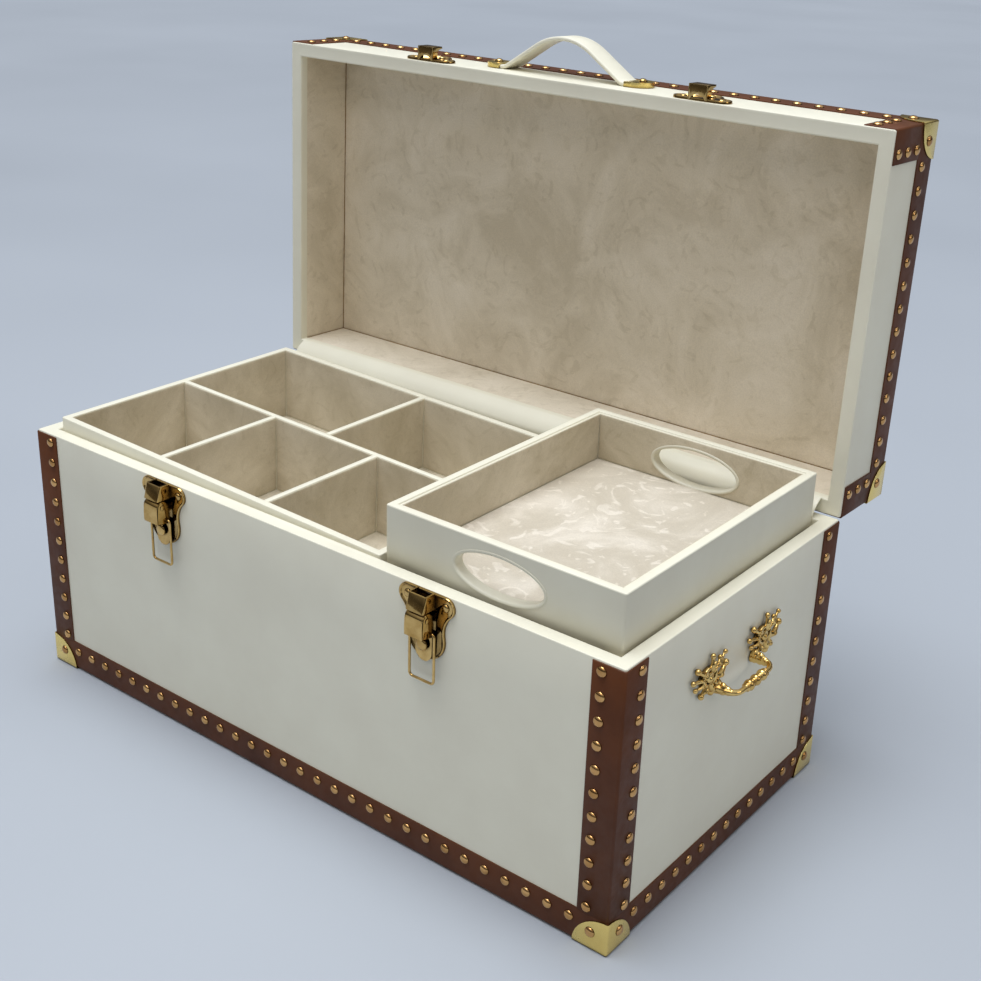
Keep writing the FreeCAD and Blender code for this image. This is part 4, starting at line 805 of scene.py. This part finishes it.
def make_latch(side, name):
    """Draw latch: rolled backplate, housing and lugs, folded lever and wire bail; its pin is a fixing."""
    middle, wall = side * LATCH_X, -BODY_Y
    form = bmesh.new()
    top, plate_long, lobe, foot, waist = BASE_RIM - 0.4, 53, 8, 17, 20
    outline = pear_outline(RIVET_SPREAD, top - lobe, lobe, top - plate_long + foot, foot, waist)
    rolled_plate(form, outline, middle)
    housing_low, bend, housing_wall, housing_half = BASE_RIM - HOUSING_LONG, 1.5, 1.2, 6.9
    rings = []
    for z, depth, trim in ((housing_low, 14.7, 0.3), (housing_low + 0.3, 14.8, 0.0),
                           (BASE_RIM - 0.5, 11.6, 0.0), (BASE_RIM, 11.4, 0.3)):
        size = bend * (1 - trim / 3)
        outer = [(trim - LATCH_HALF, -1.0)]
        outer += oval_points((bend - LATCH_HALF, bend - depth), size, size, (180, 202, 225, 247, 270))
        outer += mirrored(outer)
        inner = [(housing_half, -1.0), (housing_half, housing_wall - depth),
                 (-housing_half, housing_wall - depth), (-housing_half, -1.0)]
        rings.append([Vector((middle + x, wall + y, z)) for x, y in outer + inner])
    skin(form, rings)
    lug_round, lug_far, lug_thick = 3.8, LATCH_HALF - LATCH_SHEET - 0.2, 1.3
    lug = [(-PIN_DEPTH, PIN_Z - lug_round)]
    lug += oval_points((-PIN_DEPTH, PIN_Z), lug_round, lug_round, range(255, 0, -15))
    lug += [(-0.6, PIN_Z + 0.98), (-0.6, PIN_Z - lug_round)]
    pair_of_cheeks(form, middle, lug_far - lug_thick, lug_far, lug, 0.2)
    hang("latch_plate_pressed_" + name, form, BRASS, "base", ("latch_plate_" + name,), 40)

    form = bmesh.new()
    front_low, cheek_low, round_top, front = housing_low - 19.0, housing_low - 21.0, 5.0, -15.3
    sheet = oval_points((-PIN_DEPTH, PIN_Z), round_top, round_top, (118, 135, 150, 165, 180))
    sheet += [(front + 0.2, PIN_Z - 3.5), (front, PIN_Z - 5.5), (front, front_low + 3), (front, front_low)]
    inside = [(y + LATCH_SHEET, z - 0.25 * (index < 3)) for index, (y, z) in enumerate(sheet)]
    slab(form, [(middle - LATCH_HALF, wall + y, z) for y, z in sheet + inside[::-1]],
         (2 * LATCH_HALF, 0, 0), 0.25)
    cheek = oval_points((-PIN_DEPTH, PIN_Z), round_top, round_top, range(0, 181, 15))
    cheek += [(front + 0.1, PIN_Z - 5), (front + 0.1, front_low + 0.4), (-4.0, cheek_low), (-2.8, cheek_low),
              (-2.8, PIN_Z - round_top)]
    pair_of_cheeks(form, middle, LATCH_HALF - LATCH_SHEET, LATCH_HALF, cheek, 0.2)
    tongue_half, lever_long = 7.4, 42.0
    tongue_end = housing_low - lever_long + tongue_half
    shoulder = [(tongue_half, cheek_low), (LATCH_HALF, cheek_low + 0.4), (LATCH_HALF, cheek_low + 2.6)]
    tongue = mirrored(shoulder) + arc_points((0, tongue_end), tongue_half, 180, 360, 18) + shoulder
    back, tongue_thick = 2.8, 1.2
    slab(form, [(middle + x, wall - back, z) for x, z in tongue], (0, -tongue_thick, 0), 0.3)
    knob = [(3.0, -0.2), (3.0, 0.7), (4.0, 0.95), (4.8, 1.6), (4.9, 2.2), (4.45, 3.0), (3.3, 3.5),
            (1.7, 3.75), (0, 3.8)]
    knob_drop = 22.2
    turned(form, (middle, wall - back - tongue_thick, PIN_Z - knob_drop), (0, -1, 0), knob, 28)
    hang("latch_lever_folded_" + name, form, BRASS, "lever_" + name, ("latch_lever_" + name,), 40)

    form = bmesh.new()
    pivot_z, depth, wire, hook_bend, corner_bend, reach = BASE_RIM - 29.7, 5.8, 1.0, 2.4, 3.0, 11.1
    low = pivot_z - 39.0
    half = [(6.0, pivot_z)] + arc_points((reach - hook_bend, pivot_z - hook_bend), hook_bend, 90, 0, 5)
    half += [(reach, pivot_z - 12), (reach, pivot_z - 24)]
    half += arc_points((reach - corner_bend, low + corner_bend), corner_bend, 0, -90, 6)
    bail = half + mirrored(half)
    swept(form, [(middle + x, wall - depth, z) for x, z in bail], circle(wire, 12), (0, 1, 0))
    hang("latch_bail_bent_" + name, form, BRASS, "bail_" + name, ("latch_bail_" + name,), 50)


def make_catch(side, name):
    """Catch on the lid: rolled plate with a folded box hook that stands on an arched foot."""
    middle, wall = side * LATCH_X, -BODY_Y
    lobe, plate_foot, waist = 8, 11, 14
    form = bmesh.new()
    outline = pear_outline(RIVET_SPREAD, -(CATCH_LOW + lobe), lobe, -(CATCH_LOW + CATCH_LONG - plate_foot),
                           plate_foot, waist, -1)
    rolled_plate(form, outline, middle)
    foot, half, depth, sheet = LID_RIM + 0.6, 8.5, 12.5, 1.2
    tip, shelf = foot + 12.6, foot + 6.3
    ground = [(-half, -1.0), (-half, -depth), (half, -depth), (half, -1.0)]
    ground += oval_points((0, -1.0), 6.3, -4.6, range(0, 181, 20))
    slab(form, [(middle + x, wall + y, foot) for x, y in ground], (0, 0, sheet), 0.3)
    bar(form, (middle - half, wall - depth, foot), (middle + half, wall - depth + sheet, tip), 0.35)
    cheek = [(-0.8, foot), (-12.4, foot), (-12.4, tip), (-10.8, tip), (-9.8, shelf + 2.2),
             (-9.1, shelf + 0.6), (-8.2, shelf), (-0.8, shelf)]
    pair_of_cheeks(form, middle, half - sheet, half, cheek, 0.25)
    hang("catch_hook_" + name, form, BRASS, "lid", ("catch_" + name,), 40)


def make_latch_fixings():
    """Rivets of plates and catches, and the headed lever pins."""
    rivets, catches, pins = bmesh.new(), bmesh.new(), bmesh.new()
    dome = [(RIVET_RADIUS, -0.3)] + oval_points((0, 0), RIVET_RADIUS, RIVET_RISE, (4, 22, 40, 56, 72))
    dome += [(0, RIVET_RISE)]
    half_pin = [(1.6, 8.9), (2.0, 8.65), (2.0, 8.2), (1.3, 8.2)]
    pin = [(radius, -run) for radius, run in half_pin] + half_pin[::-1]
    lower_rivet = CATCH_LOW + CATCH_LONG - 7.3
    for middle in (side * LATCH_X for side in SIDES):
        for x in (-RIVET_SPREAD, RIVET_SPREAD):
            turned(rivets, (middle + x, -BODY_Y - PLATE_THICK, BASE_RIM - 0.4 - RIVET_DROP), (0, -1, 0), dome)
            turned(catches, (middle + x, -BODY_Y - PLATE_THICK, CATCH_LOW + RIVET_DROP), (0, -1, 0), dome)
        turned(catches, (middle, -BODY_Y - PLATE_THICK, lower_rivet), (0, -1, 0), dome)
        turned(pins, (middle, -BODY_Y - PIN_DEPTH, PIN_Z), (1, 0, 0), pin, 20)
    hang("latch_rivets_domed", rivets, BRASS, "base", ("latch_rivets",), 50)
    hang("catch_rivets_domed", catches, BRASS, "lid", ("catch_rivets",), 50)
    hang("latch_pins_headed", pins, BRASS, "base", ("latch_pins",), 35)


# Handles
def make_strap_handle():
    """Arched white leather strap in two brass end boxes with half-round ends, on the lid's front."""
    rise, crown, foot, lean, thick, wide = 29.0, 50.0, 12.0, radians(33), 3.4, 23.6
    mouth, turn_x, plate_half, end = 63.5, 69.3, 13.2, 71.0
    mid = thick / 2
    # Where the foot's bend starts, so that it, the straight flank and the crown's arc join smoothly
    span = (crown + foot) * sin(lean) + (rise - (crown + foot) * (1 - cos(lean))) / tan(lean)
    half = [(end, mid), (66.0, mid), (span, mid)]
    for step in range(1, 7):
        turn = lean * step / 6
        half.append((span - foot * sin(turn), mid + foot - foot * cos(turn)))
    flank_low = Vector(half[-1])
    flank_high = Vector((crown * sin(lean), mid + rise - crown + crown * cos(lean)))
    half += [tuple(flank_low.lerp(flank_high, share)) for share in (0.25, 0.5, 0.75)]
    for step in range(13):
        turn = lean * (1 - step / 12)
        half.append((crown * sin(turn), mid + rise - crown + crown * cos(turn)))
    path = [(STRAP_X + x, -BODY_Y - height, STRAP_Z) for x, height in half + mirrored(half[:-1])]
    side, flat = wide / 2, thick / 2
    edge = [(flat, side - 3.6), (flat * 0.93, side - 3.0), (flat * 1.04, side - 2.4), (flat, side - 1.3),
            (flat * 0.72, side - 0.35), (0, side), (-flat * 0.72, side - 0.35), (-flat, side - 1.3)]
    section = [(a, -b) for a, b in edge[::-1]] + edge
    form = bmesh.new()
    swept(form, path, section, (0, 0, 1))
    hang("strap_handle_leather", form, WHITE, "lid", ("strap_handle",), 60)

    wall = -BODY_Y
    plates, studs, slots = bmesh.new(), bmesh.new(), bmesh.new()
    slot_rise, slot_half, slot_start, box_high, stud_x = 3.42, 11.82, 50, 4.4, 73.5
    stud = [(3.6, -0.3), (3.6, 0.5), (3.3, 1.2), (2.6, 1.9), (1.5, 2.45), (0, 2.6)]
    for side in SIDES:
        rim = [(mouth, -plate_half)] + arc_points((turn_x, 0), plate_half, -90, 90, 24)
        rim += [(mouth, plate_half)]
        slab(plates, [(STRAP_X + side * x, wall, STRAP_Z + z) for x, z in rim], (0, -box_high, 0), 0.45)
        bar(slots, (STRAP_X + min(side * slot_start, side * end), wall - slot_rise, STRAP_Z - slot_half),
            (STRAP_X + max(side * slot_start, side * end), wall + 3, STRAP_Z + slot_half), 0.05)
        turned(studs, (STRAP_X + side * stud_x, wall - box_high, STRAP_Z), (0, -1, 0), stud, 20)
    bmesh.ops.recalc_face_normals(plates, faces=plates.faces)
    slot_tool = cutting_tool(slots)
    plate_mesh = worked(plates, taken_away(slot_tool))
    bpy.data.objects.remove(slot_tool)
    hang_mesh("strap_end_plates_brass", plate_mesh, CAP_BRASS, "lid", ("strap_end_plates",), 35)
    hang("strap_studs_brass", studs, BRASS, "lid", ("strap_studs",), 50)


# Scrolls of a rosette, as y and z from its middle: root, bend, tip, girth of the stem and size of the ball
SCROLLS = [((3, 3), (10, 4), (20, 11), 1.7, 1.9), ((1, 4), (1, 9), (3, 14.5), 1.9, 2.2),
           ((-4, 4), (-10, 5), (-16.5, 10.5), 2.3, 2.6), ((-5, 1), (-14, 3), (-21.5, 3.5), 1.9, 2.2),
           ((-5, -2), (-12, -3), (-18, -3.5), 1.8, 2.0), ((-4, -4), (-6, -8), (-9.5, -12), 2.3, 2.5),
           ((0, -5), (2, -10), (3.5, -13.5), 2.9, 3.0), ((4, -4), (8, -8), (12, -12.5), 1.9, 2.3),
           ((4, -1), (13, -8), (22, 1.5), 2.7, 2.7), ((6, 2), (10, 7), (13, 9.5), 1.6, 2.0)]


def cast_side_pulls():
    """Side pulls: two scrolled rosettes and a level bow with three beads, cast in one piece and polished."""
    form = bmesh.new()
    rosette_at, bow_half, bow_reach, bow_z = 38.5, 27.0, 18.7, -13.5

    def lump(centre, size, turn=0.0):
        """One smooth swelling of the casting, in the plane of the wall, turned about its normal."""
        bmesh.ops.create_icosphere(form, subdivisions=3, radius=1.0,
                                   matrix=Matrix.Translation(centre) @ Matrix.Rotation(turn, 4, "X")
                                   @ Matrix.Diagonal((size[0], size[1], size[2], 1)))

    def scroll(base_y, root, bend, tip, girth, ball):
        """A stem that rises from the rosette, sweeps out and ends in a ball, with a raised rib halfway along.
        """
        points, sizes = [], []
        for step in range(9):
            share = step / 8
            y, z = (Vector(root) * (1 - share) ** 2 + Vector(bend) * 2 * share * (1 - share)
                    + Vector(tip) * share ** 2)
            points.append(Vector((2.0 + 1.6 * sin(pi * share), base_y + y, z)))
            sizes.append(1.15 - 0.55 * share)
        swept(form, points, circle(girth, 10), (1, 0, 0), sizes)
        lump(points[-1] + Vector((0.6, 0, 0)), (ball * 0.95, ball, ball))
        lump(points[4] + Vector((girth * 0.8, 0, 0)), (0.9, girth * 0.9, girth * 0.5), atan2(tip[1], tip[0]))

    for side in SIDES:
        base_y = side * rosette_at
        lump((1.0, base_y - 1, 0), (2.6, 11.5, 7.6))
        for root, bend, tip, girth, ball in SCROLLS:
            scroll(base_y, root, bend, tip, girth, ball)
        middle = Vector((3.0, base_y - 3.5, 0.5))
        spiral = []
        for step in range(25):
            angle = radians(20 + 24 * step)
            radius = 7.4 - 0.22 * step
            spiral.append(middle + Vector((0.09 * step, radius * cos(angle), radius * sin(angle))))
        swept(form, spiral, circle(1.5, 10), (1, 0, 0), [1.0 - 0.016 * step for step in range(25)])
        lump(middle + Vector((1.6, 0, 0)), (3.0, 2.7, 2.7))
        lump(middle + Vector((0.4, 6.5, 6.0)), (2.0, 5.0, 1.6), radians(38))
        lump(middle + Vector((0.4, 9.0, -2.0)), (2.2, 1.7, 6.0), radians(-12))

    def at(y, reach):
        return Vector((reach, y, bow_z - 0.035 * reach))

    half = [(bow_half + 0.5, 0.4), (bow_half + 0.5, 3.0), (bow_half + 0.3, 6.0), (bow_half, 9.0)]
    half += oval_points((bow_half - 8, bow_reach - 8), 8, 8, (10, 30, 50, 70, 90))
    half += [(15.0, bow_reach), (10.0, bow_reach), (5.0, bow_reach), (0.0, bow_reach)]
    girth = [1.9, 1.7, 1.45, 1.2, 1.05, 0.92, 0.84, 0.8, 0.8, 0.86, 0.9, 0.9, 0.9]
    path = [at(-y, r) for y, r in half] + [at(y, r) for y, r in half[-2::-1]]
    swept(form, path, circle(2.7, 14), (0, 0, 1), girth + girth[-2::-1])
    for place in (-9.0, 0.0, 9.0):
        lump(at(place, bow_reach), (4.3, 3.3, 4.3))
    for place in (-13.4, -4.5, 4.5, 13.4):
        lump(at(place, bow_reach), (3.5, 0.85, 3.5))
    for side in SIDES:
        lump(at(side * bow_half, 3.0) + Vector((0, 0, 1.0)), (4.2, 3.6, 6.0))
        lump(at(side * bow_half, 7.5) + Vector((0, 0, 0.4)), (4.6, 2.8, 5.0))
        lump(at(side * (bow_half - 0.6), 11.5), (3.8, 2.6, 3.6))
    casting = worked(form, ("REMESH", {"mode": "VOXEL", "voxel_size": 0.38, "adaptivity": 0.0}),
                     ("SMOOTH", {"factor": 0.5, "iterations": 3}))
    for side, name in ((1, "right"), (-1, "left")):
        mesh = casting.copy()
        mesh.transform(Matrix.Translation((side * (BODY_X + 0.1), PULL_Y, PULL_Z))
                       @ Matrix.Diagonal((side, 1, 1, 1)))
        if side < 0:
            mesh.flip_normals()
        hang_mesh("side_pull_cast_" + name, mesh, CAST_BRASS, "base", ("side_handle_" + name,), 80)


def finish_carried_solids():
    """Finishes for the solids whose own shape is already right."""
    carried = {
        BOARD: [box + "_" + board + "_panel" for box, last in (("base", "bottom"), ("lid", "top"))
                for board in ("front", "back", "left", "right", last)],
        FELT: ["base_underside_felt"],
        SUEDE: ["well_partition", "insert_left_bearer", "insert_right_bearer", "tray_right_bearer"],
        IVORY_PAINTED_SHADE: ["tray_floor"],
        BRASS: ["hinge_base_leaves", "hinge_lid_leaves"],
        STEEL: ["hinge_pins"],
    }
    for material, names in carried.items():
        for name in names:
            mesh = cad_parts[name].data
            mesh.materials.clear()
            mesh.materials.append(material)


# Setting
def set_camera():
    """The photograph's viewpoint: a normal lens from the front right, looking down about 22 degrees."""
    camera = bpy.data.cameras.new("viewpoint")
    camera.sensor_width = 36.0
    camera.lens = 53.156
    camera.shift_x = -0.03622
    camera.shift_y = -0.04137
    camera.clip_end = 50.0
    piece = put("viewpoint", camera)
    # Where the picture's own directions point, solved from the trunk's corners in the photograph
    right = Vector((0.79468918, 0.60579221, 0.03853453))
    down = Vector((0.25835623, -0.2801056, -0.92455011))
    ahead = Vector((-0.54929152, 0.7446856, -0.37910708))
    turn = Matrix((right, -down, -ahead)).transposed().to_4x4()
    piece.matrix_world = Matrix.Translation((0.70712, -0.81564, 0.68706)) @ turn
    bpy.context.scene.camera = piece


def set_light():
    """A wide soft light overhead from the left, weak panels from the front and the right, and a room that is
    dark at the height of the eyes and pale above."""
    def panel(name, place, aim, size, power, tint):
        light = bpy.data.lights.new(name, "AREA")
        light.shape = "RECTANGLE"
        light.size, light.size_y = size
        light.energy = power
        light.color = colour(tint)[:3]
        turn = (Vector(aim) - Vector(place)).to_track_quat("-Z", "Y").to_matrix().to_4x4()
        put(name, light).matrix_world = Matrix.Translation(place) @ turn

    panel("front", (0.55, -1.2, 1.6), (0, 0, 0.25), (1.1, 0.6), 3.2, "#fff0dc")
    panel("right", (1.9, 0.3, 1.1), (0, 0, 0.2), (0.6, 0.5), 2.1, "#fff0dc")
    panel("above", (-0.1, 0.0, 1.9), (0, 0, 0.3), (1.4, 1.0), 7.0, "#f2f7ff")
    ceiling = bpy.data.lights.new("overhead", "SUN")
    ceiling.energy = 1.95
    ceiling.angle = radians(40)
    ceiling.color = colour("#f2f7ff")[:3]
    tilt = Matrix.Rotation(radians(4), 4, "X") @ Matrix.Rotation(radians(-6), 4, "Y")
    put("overhead", ceiling).matrix_world = tilt
    world = bpy.data.worlds.new("surroundings")
    world.use_nodes = True
    tree = world.node_tree
    background = tree.nodes["Background"].inputs
    background["Strength"].default_value = 0.76
    direction = add(tree, "ShaderNodeTexCoord", output="Generated")
    height = add(tree, "ShaderNodeSeparateXYZ", links={0: direction}, output="Z")
    add(tree, "ShaderNodeValToRGB", links={0: height}, into=background["Color"],
        stops=((0.0, "#686664"), (0.75, "#e4eaf4"), (0.12, "#474543"), (0.4, "#949596")))
    bpy.context.scene.world = world
    bpy.context.scene.view_settings.view_transform = "Standard"


def lay_floor():
    """Plain pale floor."""
    form = bmesh.new()
    half_side_metres = 14.0
    bmesh.ops.create_grid(form, x_segments=24, y_segments=24, size=half_side_metres)
    floor = put("floor", mesh_of(form, "floor"))
    floor.data.materials.append(PAPER)


set_camera()
set_light()
lay_floor()
finish_carried_solids()
cover_base_and_lid()
line_wells()
close_hinge_gap()
fold_trims()
press_caps()
drive_nails()
cover_tray()
cover_insert()
for latch_side, latch_name in zip(SIDES, ("left", "right")):
    make_latch(latch_side, latch_name)
    make_catch(latch_side, latch_name)
make_latch_fixings()
make_strap_handle()
cast_side_pulls()
